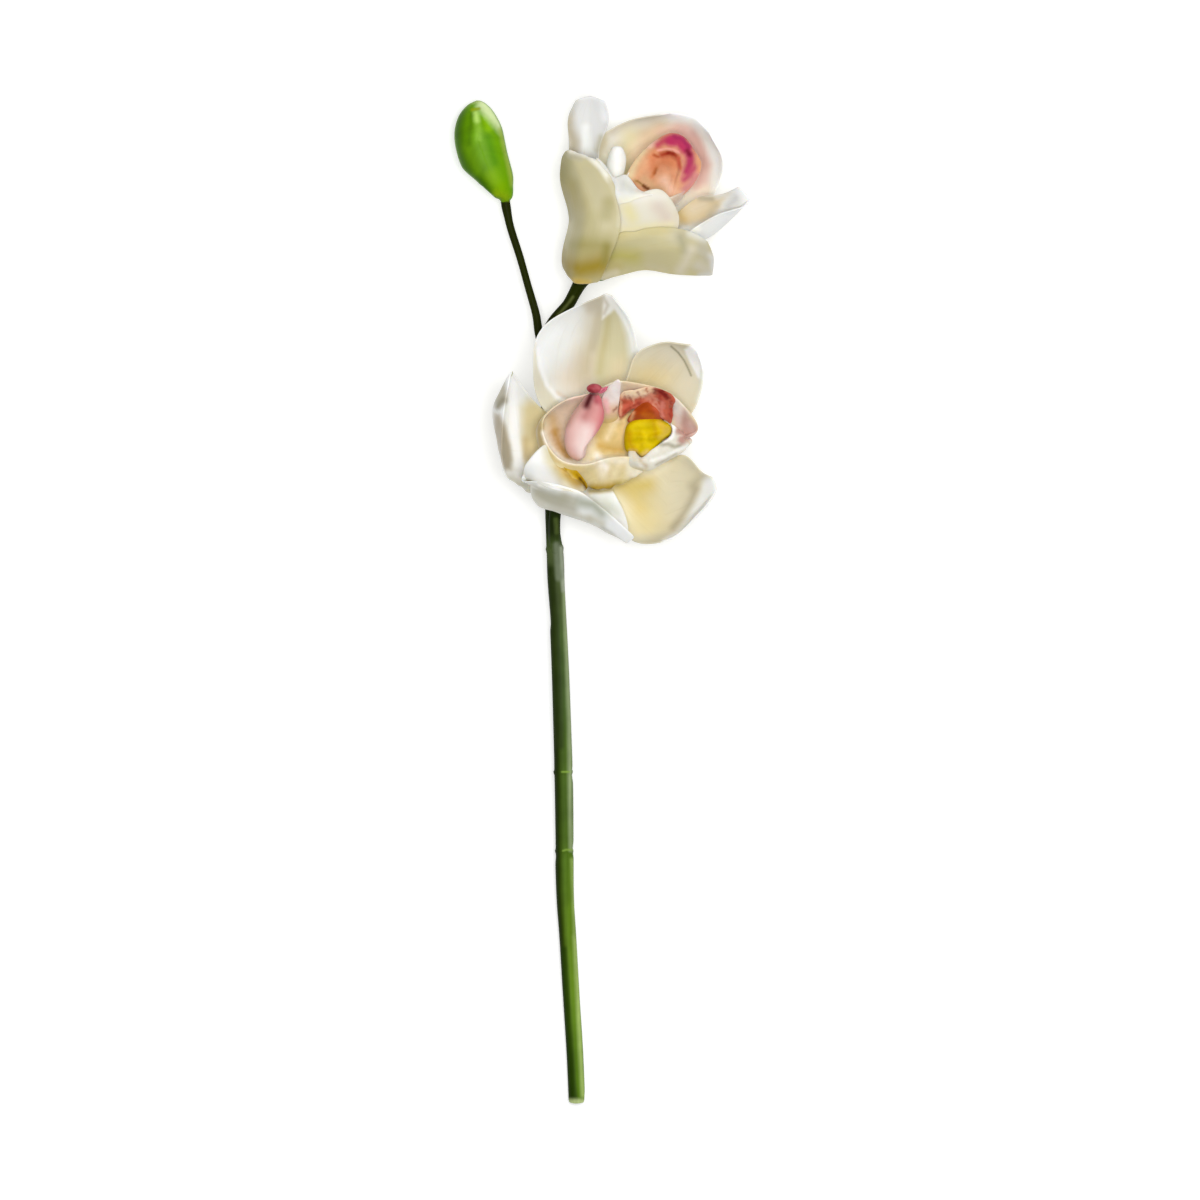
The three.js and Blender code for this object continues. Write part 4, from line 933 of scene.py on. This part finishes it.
# %% The lower column
lower_column = grown_copy("lower_column")
for place, by in (((609, 430, 40), -1.5), ((607, 441, 39.5), -2.2), ((602, 450, 38.5), -2.3),
                  ((597, 457, 38), -1.8)):
    pull(lower_column, place, by=(by, 0, 0), reach=7.5)
pull(lower_column, (598, 447, 30), by=(-3.8, 0.8, 0), reach=6.5)
paint(lower_column, "#ecc6be", [
    ("#d8928f", 0.95, along(8, 26, (592, 396), (600, 406), (597, 420))),
    # a painted highlight along the column's back
    ("#f2dcd6", 0.95, along(3, 14, (586, 432), (582, 446), (580, 456))),
    ("#e0aca4", 0.8, along(2, 9, (568, 430), (568, 446), (574, 456))),
    ("#a84c54", 0.95, along(2.5, 5, (594, 394), (597, 401))),
    ("#c06068", 0.9, along(1.5, 5, (600, 396), (603, 402))),
    ("#cc6a72", 0.9, along(1, 6, (601, 400), (604, 410), (601, 424), (597, 436))),
    ("#d8a082", 0.8, along(0.5, 4, (596, 440), (591, 450), (586, 458))),
    ("#c4907e", 0.8, along(1.5, 6, (582, 404), (575, 414), (568, 424))),
    ("#b46a66", 0.7, along(2, 8, (590, 408), (585, 417))),
    ("#5a1018", 0.97, along(2.2, 5, (591, 396), (588.5, 401), (586.5, 406))),
    ("#40080c", 0.8, along(0.5, 3, (590, 398), (587.5, 404))),
    ("#e9b79c", 0.8, along(1, 5, (564, 446), (570, 456), (579, 461))),
], "#c08a80")
dress(lower_column, column_wax)

# %% The anther cap and its wing
lower_cap = grown_copy("lower_anther_cap")
paint(lower_cap, "#a44048", [
    ("#7e2228", 0.9, along(1, 2, (590, 391), (593, 393))),
    ("#bd5f66", 0.8, along(1, 2, (596, 386), (599, 389))),
], "#8a2a32")
dress(lower_cap, column_wax)
fold("lower_anther_wing", column_wax, [
    [(598, 393.5, 48.4), (598.5, 391.5, 49), (599, 389.5, 48.8)],
    [(602, 393.5, 48.2), (602.5, 390.5, 49), (603, 388.5, 48.8)],
    [(606, 391, 47.8), (607, 388.5, 48.4), (607.5, 387, 48.2)],
], "#cc6e80", [
    ("#9c2f45", 0.8, along(0.3, 1.2, (600, 393), (604, 390))),
], underside="#a8485a")

# %% [markdown]
# ## The upper lip and its cushion
# The upper lip is seen from its side and into its mouth: white outside with a breath of yellow, a hood of
# rose and crimson, and inside the hood the peach and orange cushion with a pale pink margin, whose pink is
# partly its tint and partly a painted highlight on the ridge. A dark slit of painted shadow runs between the
# cushion and the lobe beside it. The mouth has a lining of its own, a fold drawn from the hood's rim down to
# the cushion, and two white lobes stand at its near side.

# %% The upper lip's tints
upper_lip = grown_copy("upper_lip", thinner=LIP_TRIM)
paint(upper_lip, "#e9e4d6", [
    ("#e6dcae", 0.8, along(3, 10, (628, 210), (630, 222))),
    ("#dfb08c", 0.95, along(4, 8, (640, 168), (646, 158), (650, 150))),
    ("#c4506c", 0.95, within(4, (646, 152), (655, 142), (665, 136), (676, 133), (687, 138), (698, 152),
                             (702, 166), (698, 178), (690, 188), (682, 186), (686, 168), (684, 158),
                             (676, 148), (660, 148))),
    ("#be4060", 0.9, along(2, 4, (674, 138), (684, 143))),
    ("#d4858c", 0.9, along(2, 5, (650, 146), (657, 141))),
    ("#b44a70", 0.9, along(2, 4, (693, 158), (695, 170))),
    ("#8e1c3e", 0.95, along(1.5, 3.5, (687, 150), (689, 155))),
    ("#d6a09a", 0.95, along(3, 6, (692, 182), (684, 192))),
    ("#dcc0a6", 0.95, along(3, 6, (678, 198), (670, 204))),
], "#d8cfae", ragged=0.8)
dress(upper_lip, velvet_lip)

# %% The upper cushion
upper_callus = grown_copy("upper_callus")
paint(upper_callus, "#dfb18c", [
    ("#d0885e", 0.95, within(8, (638, 172), (648, 154), (668, 149), (684, 156), (684, 170), (668, 172),
                             (652, 178))),
    ("#e0a488", 0.9, along(3, 6, (678, 178), (674, 188), (668, 192))),
    ("#c26a42", 0.9, along(3, 6, (650, 164), (664, 158), (676, 160))),
    ("#a43c26", 0.95, along(1.5, 4, (666, 152), (674, 154))),
    ("#b65a3a", 0.9, along(1, 3, (654, 154), (658, 156))),
    ("#8f4216", 0.95, along(1.2, 2.2, (655, 168), (654, 173))),
    # a painted shadow in the slit between the cushion and the lobe beside it
    ("#7d3c08", 0.95, along(1.2, 2.5, (638, 182), (643, 186), (649, 191))),
    # the pale pink margin, partly its tint and partly a painted highlight on the ridge
    ("#e2aaa4", 0.95, along(1, 2, (648, 156), (658, 150), (668, 148), (678, 151), (685, 159), (687, 170),
                            (684, 181))),
], "#c99870", ragged=0.6)
dress(upper_callus, callus_skin)

# %% The lining of the mouth
fold("upper_lip_lining", velvet_lip, [
    [(627, 176, 28), (635, 162, 24.6), (648, 148, 22.8), (661, 138.5, 21.2), (674, 135, 20.8), (686, 141, 21),
     (692, 151, 21.6), (698.5, 162, 22.4), (697, 174, 23.6), (690, 187, 25.8), (681, 196, 28.4)],
    [(630, 179, 28.2), (641, 167, 25.6), (652, 153.5, 24.8), (663, 149.5, 24.4), (673, 150, 24.4),
     (680, 154, 24.6), (683, 160, 25), (682.5, 169, 25.8), (680, 179, 27.2), (677, 188, 28.8), (675, 195, 30)],
    [(632.5, 182, 28.4), (645, 171.5, 25.6), (655, 161, 23.4), (664, 157, 22.8), (670, 157, 22.8),
     (675, 161, 23), (677.5, 166, 23.6), (677.5, 173, 24.6), (675, 181, 26.4), (673, 189, 28.6), (672, 197, 30.6)],
    [(634.5, 184.5, 28.8), (645, 179, 27.4), (654, 172, 25.8), (661, 169, 25.2), (666, 169, 25.2),
     (669, 171, 25.4), (671, 174, 25.8), (671, 178, 26.8), (670, 184, 28.2), (670, 190, 30), (670, 199, 31.2)],
    [(636, 187, 29.4), (641, 191, 30.2), (648, 194, 31.2), (654, 195, 32), (658, 195, 32.6),
     (661, 194, 33), (664, 194, 33), (666, 194.5, 33), (667, 196, 32.6), (668, 199, 32.2), (669, 202, 31.8)],
], "#dca078", [
    ("#e2cfa4", 0.95, along(2, 7, (630, 176), (636, 164), (644, 152))),
    ("#dca67c", 0.9, along(3, 7, (641, 171), (646, 162))),
    ("#dc9e76", 0.9, along(3, 12, (650, 172), (652, 160))),
    ("#f4ccb4", 0.9, along(2, 4, (650, 146), (656, 142))),
    ("#d4885c", 0.8, along(1.5, 6, (650, 156), (654, 152))),
    ("#c2465a", 0.95, along(2.5, 5, (658, 145), (664, 141), (670, 139))),
    ("#b92c5c", 0.97, along(5, 5, (671, 141), (679, 141), (686, 149))),
    ("#a82458", 0.9, along(1.5, 3, (674, 136), (683, 139), (689, 147))),
    ("#b02e5c", 0.97, along(3.5, 5, (690, 156), (690, 164), (687, 172))),
    ("#bc4a66", 0.95, along(2, 5, (694, 168), (690, 176), (684, 180))),
    ("#cc8484", 0.95, along(2, 5, (696, 176), (690, 185), (684, 190))),
    ("#dcb498", 0.95, along(3, 6, (680, 196), (672, 201))),
    ("#780828", 0.97, along(1.2, 3, (687, 151), (690, 155))),
    ("#cc7a50", 0.9, within(12, (656, 158), (662, 152), (672, 153), (679, 160), (678, 168), (666, 170),
                            (656, 168))),
    ("#a02c14", 0.97, along(1.5, 5, (662, 155), (670, 153), (676, 156))),
    ("#841408", 0.9, along(0.8, 3, (668, 152.5), (673, 153.5))),
    ("#cc7044", 0.6, along(1, 6, (653, 160), (652, 168))),
    ("#a8441c", 0.9, along(0.6, 2.5, (654, 155), (658, 157))),
    ("#c85440", 0.9, along(1, 3, (678.5, 158), (680, 168))),
    ("#dc9a74", 0.9, along(3, 6, (664, 172), (674, 176))),
    ("#eec0a4", 0.95, along(3, 7, (664, 181), (670, 190))),
    ("#d6ab80", 0.9, along(2, 6, (644, 180), (654, 188), (662, 191))),
    ("#742c04", 0.97, along(0.8, 2.4, (656, 169.5), (654, 174))),
    ("#cc7440", 0.7, along(1, 3.5, (656, 167), (652, 177))),
    # a painted shadow in the slit beside the cushion
    ("#c49a66", 0.95, along(1.2, 2, (635, 181), (642, 185))),
    ("#6c3404", 0.97, along(1.2, 2, (643.5, 186), (648, 189.5))),
    ("#8a5420", 0.8, along(0.4, 1.2, (637, 181), (641, 184))),
    # the pale pink line on the ridge, partly its tint and partly a painted highlight
    ("#eca89c", 0.95, along(0.4, 1.5, (658, 150.5), (666, 149), (673, 150), (679, 153))),
    ("#d47f7c", 0.8, along(0.2, 1, (679, 153), (682, 158), (683, 164), (682.3, 171), (680.5, 179))),
], underside="#e4dcc8")

# %% The white lobe at the near side
fold("upper_lip_near_lobe", waxy_skin, [
    [(613, 237, 34.6), (614, 220, 36.2), (617, 204, 37.6)],
    [(628, 236, 34.8), (630, 216, 37.6), (631, 199, 38.6)],
    [(642, 234, 34.8), (643, 214, 38.2), (643, 195.5, 39)],
    [(655, 233, 34.6), (657, 212, 37.6), (655, 192.5, 38.8)],
    [(666, 232, 33.6), (669, 213, 36.4), (665, 195, 38)],
    [(675, 231, 32.4), (678, 218, 33.8), (673, 204, 35.8)],
], "#e0dac8", [
    ("#e2d8a2", 0.9, along(3, 10, (628, 210), (632, 218))),
    ("#d4c6b8", 0.9, along(4, 10, (658, 208), (666, 218))),
    ("#e4dfd4", 0.9, along(1.5, 6, (636, 201), (650, 196), (664, 198))),
    ("#d8cfba", 0.8, along(1, 6, (676, 212), (677, 226))),
    ("#e6dcae", 0.8, along(2, 8, (616, 232), (640, 229), (670, 228))),
], thickness=0.6, underside="#d8d2b8")

# %% The white lobe beside the finger
fold("upper_lip_side_lobe", waxy_skin, [
    [(597, 159, 30), (601, 166, 31), (607, 176, 33), (612, 190, 36), (616, 203, 37.6)],
    [(606, 167, 29), (609, 175, 31), (613, 185, 34.5), (616, 194, 37), (621, 203, 38.4)],
    [(614, 179, 29.6), (616, 185, 32.6), (619, 191, 36), (623, 196, 38), (628, 202, 39)],
    [(623, 176, 30), (625, 183, 33.6), (627, 190, 36.6), (631, 195, 38.6), (636, 199, 39.4)],
    [(629, 178.5, 31), (631, 186, 34.4), (634, 191, 37), (638.5, 194, 38.8), (644, 197, 39.6)],
    [(633.5, 184, 33), (637, 189, 35.6), (641.5, 192, 37.6), (647, 194, 39), (652, 195.5, 39.6)],
], "#f0efe8", [
    ("#fbfaf4", 0.9, along(2, 6, (600, 164), (608, 176), (614, 194))),
    ("#dedfd4", 0.9, along(2, 6, (626, 185), (632, 190))),
    ("#f0eee6", 0.9, along(1, 4, (626, 177), (634, 182))),
    ("#e6d8c6", 0.8, along(1, 5, (638, 191), (648, 194))),
    ("#f0ead2", 0.9, along(2, 6, (622, 202), (640, 200))),
], thickness=0.6, underside="#d6d0b8")

# %% [markdown]
# ## The white finger
# The upper column is one smooth white finger whose cap is pressed close, so no seam shows. Two rounded
# copies would leave a neck between them, and a boolean union a sharp ring. It is drawn as a fold instead,
# only a thick one: a sheet with a raised middle, 2.6 mm thick, which rounding turns into a finger. It
# stands for both solids.

# %% Column and cap in one skin
finger = fold("upper_column_finger", column_wax, [
    [(608, 187, 22.6), (614, 188, 24.4), (620, 187, 23)],
    [(607, 176, 23.4), (614.5, 176, 25.4), (622, 176, 24)],
    [(608, 166, 24.4), (616, 166, 26.6), (624, 166, 25)],
    [(609.6, 158, 25.6), (617, 158, 27.8), (624.6, 158, 26.2)],
    [(612.4, 152, 26.6), (617.4, 151, 28.4), (622.8, 152, 27)],
    [(615, 148.4, 27), (617.6, 147.6, 28), (620.2, 148.4, 27.2)],
], "#e9e9e3", [
    # painted shade on the flanks and a painted highlight down the middle
    ("#e9e7da", 0.8, along(1, 7, (608, 176), (610, 188))),
    ("#e8e4da", 0.8, along(1, 5, (622, 166), (621, 180))),
    ("#fafaf8", 0.8, along(2, 6, (616, 152), (617, 168))),
], thickness=2.6, underside="#dad6c2")
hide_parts("upper_column", "upper_anther_cap")

# %% [markdown]
# ## The bud
# A closed bud is three green sepals wrapped edge to edge. It is a rounded copy of its solid, whose three low
# keels are the sepals' backs, and it is pulled in at its lower left, where it narrows to its stalk. It is
# yellow-green at its base. It is bright at its tip and down its right side with painted highlights, and dark
# down its left flank and in a groove between two sepals with painted shade. The skin is a petal's wax over
# green cells, so its fibres take the place of the veins.

# %% The bud's skin
# young waxy sepal, grown: a close green satin with faint fibres from base to tip
bud_skin, tree, pigment_and_painted_light = painted_material("waxy_green_sepal")
grain = add(tree, "Attribute", attribute_name="grain").outputs["Vector"]
# 20 mm along the bud and 0.9 mm across it
stretched = add(tree, "Mapping", {"Vector": grain, "Scale": (0.05, 1.1, 1)}).outputs["Vector"]
fibres = add(tree, "TexNoise", {"Vector": stretched, "Scale": 1.0, "Detail": 3.0})
mottled = shaded(tree, pigment_and_painted_light, fibres.outputs["Fac"], 0.9, 1.1)
relief = add(tree, "Bump", {"Height": fibres.outputs["Fac"], "Strength": 0.25, "Distance": 0.0004})
skin = add(tree, "BsdfPrincipled", {
    "Base Color": mottled, "Normal": relief.outputs["Normal"], "Roughness": 0.42, "IOR": 1.44,
    "Specular IOR Level": 0.1, "Subsurface Weight": 0.05, "Subsurface Radius": (0.5, 1.0, 0.2),
    "Subsurface Scale": 0.001})
add(tree, "OutputMaterial", {"Surface": skin.outputs["BSDF"]})
print("waxy green sepal has", len(tree.nodes), "nodes")

# %% The bud's shape and tints
bud = grown_copy("bud")
pull(bud, (488, 194, 10), by=(1.5, 1.1, 0), reach=6.5)
pull(bud, (477, 185, 10), by=(2.2, 1.1, 0), reach=9.5)
lay_grain(bud, [(505, 202, 10.3), (490, 172, 10.3), (478, 140, 10.3), (478, 100, 10.3)])
paint(bud, "#679a00", [
    # painted shade down the left flank, which turns from the light
    ("#3c6400", 0.95, along(9, 11, (455, 112), (453, 136), (462, 162), (476, 182), (492, 198))),
    ("#628e08", 0.8, along(3, 8, (468, 148), (478, 170))),
    # painted shade in the groove between two sepals, and a painted highlight beside it
    ("#467000", 0.8, along(1, 5, (472, 114), (470, 130), (469, 144))),
    ("#84b430", 0.9, along(2, 4, (477, 118), (478.5, 130), (479, 138))),
    ("#b8dc70", 0.9, along(1.5, 4, (476, 113), (477, 120))),
    ("#86b800", 0.9, along(2, 5, (486, 118), (489, 128))),
    ("#528a00", 0.9, along(2, 6, (488, 138), (492, 152), (495, 162))),
    # painted highlights on the lit tip and right shoulder, and light along the right edge
    ("#d9eaac", 0.95, within(7, (478, 98), (492, 99), (504, 122), (501, 133), (492, 123), (483, 113), (477, 106))),
    ("#b2c770", 0.9, along(1.5, 3, (462, 106), (470, 101), (478, 100))),
    ("#96b03c", 0.95, along(1.5, 4, (501, 130), (506, 150), (510, 170), (513, 184))),
    ("#7aa600", 0.85, along(4, 8, (492, 176), (500, 188))),
    ("#84a206", 0.8, along(2, 7, (497, 194), (506, 197))),
    ("#8c9c04", 0.95, along(0.8, 2, (472, 109.5), (479, 108.5))),
], "#5c8a10", ragged=0.5, horizon=0.5)
dress(bud, bud_skin)

# %% [markdown]
# ## The stem
# The stem is green and slightly waxy, nearly black-green near the flowers and yellow-green near its cut end,
# with faint lines along it. Pale rings show where bracts have fallen. Its long fibres are a stretched noise,
# and the bands of colour are painted, with a dark line of painted shade down its left side and a pale line of
# painted highlight right of its middle. The copy is made a little fuller along the left of its lower length,
# with the soft falloff of a pull, but on a long stretch of one side and not at one place.

# %% The stem's skin
# fibres under a thin wax, grown: fine light and dark lines along the stem, cloudy blotches, almost no gloss
stem_skin, tree, pigment_and_painted_light = painted_material("fibrous_green_stem")
place = add(tree, "TexCoord").outputs["Object"]
# fibres 36 mm long and 1.1 mm wide, and blotches 8 mm wide
long_way = add(tree, "Mapping", {"Vector": place, "Scale": (900, 28, 900)}).outputs["Vector"]
fibres = add(tree, "TexNoise", {"Vector": long_way, "Scale": 1.0, "Detail": 3.0})
blotches = add(tree, "TexNoise", {"Vector": place, "Scale": 120.0, "Detail": 3.0})
streaked = shaded(tree, pigment_and_painted_light, fibres.outputs["Fac"], 0.88, 1.1)
mottled = shaded(tree, streaked, blotches.outputs["Fac"], 0.9, 1.12)
relief = add(tree, "Bump", {"Height": fibres.outputs["Fac"], "Strength": 0.25, "Distance": 0.0003})
skin = add(tree, "BsdfPrincipled", {
    "Base Color": mottled, "Normal": relief.outputs["Normal"], "Roughness": 0.5, "IOR": 1.44,
    "Specular IOR Level": 0.05})
add(tree, "OutputMaterial", {"Surface": skin.outputs["BSDF"]})
print("fibrous green stem has", len(tree.nodes), "nodes")

# %% A fuller left side
FACES_LEFT = -0.3                        # the normal's x below which a point lies on the left side
FULLER = ((632, 0.0004), (865, 0.0003))  # below this row, the side moves out by so many metres
STEM_REACH = 0.004                       # the skin follows out to this distance, in metres

stem = grown_copy("stem")
bpy.ops.object.mode_set(mode="EDIT")
bpy.ops.mesh.select_all(action="DESELECT")
side = bmesh.from_edit_mesh(stem.data)
for row, wider in FULLER:
    for point in side.verts:
        point.select = point.normal.x < FACES_LEFT and point.co.y < on_paper(0, row).y
    bpy.ops.transform.translate(value=(-wider, 0, 0), use_proportional_edit=True,
                                proportional_edit_falloff="SMOOTH", proportional_size=STEM_REACH)
bpy.ops.object.mode_set(mode="OBJECT")
print("the stem's left side is", round(1000 * sum(wider for _, wider in FULLER), 1), "mm fuller at most")

# %% The stem's tints
paint(stem, "#4c6a18", [
    ("#4c6c0c", 0.95, along(30, 60, (578, 1110), (574, 1050))),
    ("#5c7c18", 0.95, along(20, 60, (572, 990), (569, 930))),
    ("#425a1a", 0.95, along(20, 60, (566, 800), (563, 720))),
    ("#42562a", 0.95, along(20, 50, (562, 690), (559, 610))),
    ("#44502c", 0.95, along(20, 30, (557, 590), (555, 560))),
    ("#182206", 0.97, along(14, 14, (552, 524), (551, 500), (549, 420), (545, 335))),
    # painted shade down the stem's left side, which turns from the light
    ("#1c2a02", 0.95, along(3.4, 5.5, (571, 1102), (567, 1052), (563.5, 997), (560, 937), (557.5, 890),
                            (556.5, 849), (556, 787), (555, 724), (553.5, 672), (551.5, 622), (549, 570))),
    ("#26320f", 0.7, along(3.5, 4, (552, 580), (555, 622), (557, 672), (559, 724), (559.5, 745))),
    ("#203800", 0.7, along(2.5, 3, (563.5, 950), (568, 1020), (572, 1080), (574, 1102))),
    # a painted highlight right of the stem's middle
    ("#98b060", 0.9, along(1.4, 3.2, (583, 1096), (580.5, 1052), (578, 997), (575, 937))),
    ("#849c50", 0.9, along(1, 3, (575, 937), (573, 890), (572, 860))),
    ("#8c9c70", 0.9, along(1.2, 3.2, (571, 850), (570, 787), (569.5, 724), (567.5, 672), (565.5, 622),
                           (564, 580))),
    ("#98a08c", 0.9, along(1.5, 3, (561, 548), (562, 566), (564, 590))),
    ("#6c765e", 0.9, along(2, 3.5, (556.5, 545), (557.5, 560), (559, 578))),
    ("#4c5a2a", 0.8, along(1.5, 3, (556, 520), (557, 532))),
    ("#1c2000", 0.98, along(8, 8, (545, 334), (533, 300), (518, 250), (505, 203))),
    ("#1e2400", 0.98, along(9, 8, (548, 330), (556, 318), (568, 304), (577, 290), (582, 280))),
    ("#5c6434", 0.8, along(0.8, 2, (558, 315), (567, 305), (573, 297))),
    ("#7c9a3c", 0.9, along(0.4, 1.4, (562, 772), (564, 772), (569, 772))),
    ("#7c9a3c", 0.9, along(0.4, 1.4, (563, 851), (566, 850), (573, 850))),
    ("#b3c283", 0.9, along(2, 4, (570, 1103), (585, 1103))),
], "#34481c")
dress(stem, stem_skin)

# %% [markdown]
# ## The bud's collar
# Where the bud sits on its stalk, the ovary's tip swells a little under the sepals. The collar is a short
# drum that is turned to the stalk's direction, narrowed at both ends in edit mode and rounded, so that it
# looks grown and not turned.

# %% A collar between stalk and bud
COLLAR_RADIUS, COLLAR_LENGTH = 0.0019, 0.0022   # metres
COLLAR_ENDS = 0.0009                            # points farther than this from its middle lie on an end
NARROWED = 0.82                                 # how wide the ends stay

stalk = on_paper(505.25, 201.5, 10.3) - on_paper(507.2, 205.2, 10.5)
bpy.ops.object.select_all(action="DESELECT")
bpy.ops.mesh.primitive_cylinder_add(vertices=14, radius=COLLAR_RADIUS, depth=COLLAR_LENGTH,
                                    location=on_paper(505.4, 201.8, 10.3),
                                    rotation=stalk.to_track_quat("Z", "Y").to_euler())
collar = bpy.context.active_object
collar.name = "bud_collar"
bpy.ops.object.mode_set(mode="EDIT")
bpy.ops.mesh.subdivide(number_cuts=1)
ring = bmesh.from_edit_mesh(collar.data)
for point in ring.verts:
    point.select = abs(point.co.z) > COLLAR_ENDS
ring.select_flush_mode()
bpy.ops.transform.resize(value=(NARROWED, NARROWED, 1), orient_type="LOCAL")
bpy.ops.object.mode_set(mode="OBJECT")
bpy.ops.object.transform_apply(location=True, rotation=True, scale=True)
round_through_points(collar, levels=2)
paint(collar, "#283004", [("#6a8010", 0.9, along(1, 2, (500, 199), (510, 200)))], "#2a300c")
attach(collar, "root")
dress(collar, stem_skin)

# %% [markdown]
# ## Table, light and camera
# The stem lies on a plain white table, as for a plant portrait. A large soft light hangs overhead, beside the
# camera, a weak one stands for a window at the upper right, and the pale room fills the rest, so the petals'
# bows show without hard shadows. The table glows a little, as frosted glass lit from below does, because a
# plain white one would be greyed by the plant's own shadow. The camera hangs straight above, ten metres up
# with a long lens, so that nothing is foreshortened.

# %% Table
# frosted white acrylic, lit faintly from behind: a matt, even ground with only a breath of shadow
TABLE_SIDE = 30         # metres, so that its edge is out of view from every side

bpy.ops.object.select_all(action="DESELECT")
bpy.ops.mesh.primitive_plane_add(size=TABLE_SIDE, location=(0, 0, 0))
table = bpy.context.active_object
table.name = "table"
matt_white, tree = new_material("matt_white_table")
surface = add(tree, "BsdfPrincipled", {"Base Color": (*linear("#d8d8d7"), 1), "Roughness": 0.8,
                                       "Specular IOR Level": 0.2, "Emission Color": (1, 1, 1, 1),
                                       "Emission Strength": 0.42})
add(tree, "OutputMaterial", {"Surface": surface.outputs["BSDF"]})
table.data.materials.append(matt_white)
print(table.name, "is", TABLE_SIDE, "m wide")

# %% Lights
FLOWERS = Vector((0, 0.05, 0))     # what the lights are turned to


def soft_light(name, place, width, power, tint):
    """A square light that the camera doesn't see, turned to the flowers."""
    bpy.ops.object.light_add(type="AREA", location=place)
    light = bpy.context.active_object
    light.name = name
    light.data.size = width
    light.data.energy = power
    light.data.color = linear(tint)
    light.rotation_euler = (FLOWERS - Vector(place)).to_track_quat("-Z", "Y").to_euler()
    light.visible_camera = False
    print(name, "is", width, "m wide and gives", power, "W")


soft_light("overhead", (0.1, 0.08, 2.8), width=1.2, power=64, tint="#ffffff")
soft_light("window", (1.1, 0.6, 1.3), width=1.0, power=5, tint="#fffefb")
world = bpy.data.worlds.new("pale_room")
bpy.context.scene.world = world
world.use_nodes = True
room = world.node_tree.nodes["Background"].inputs
room["Color"].default_value = (*linear("#fbfcff"), 1)
room["Strength"].default_value = 0.26

# %% Camera
CAMERA_HEIGHT = 10.0    # metres above the table
FRAMED_HEIGHT = 0.02    # the sheet of paper just fills the frame at this height, that of the blooms
SENSOR = 36             # millimetres

bpy.ops.object.camera_add(location=(*paper_middle[:2], CAMERA_HEIGHT), rotation=(0, 0, 0))
camera = bpy.context.active_object
camera.data.sensor_width = SENSOR
camera.data.lens = SENSOR * (CAMERA_HEIGHT - FRAMED_HEIGHT) / (PAPER_SIDE * SQUARE)
camera.data.clip_end = 6 * CAMERA_HEIGHT
bpy.context.scene.camera = camera
bpy.context.scene.view_settings.view_transform = "Standard"
print("the camera's lens is", round(camera.data.lens), "mm long")
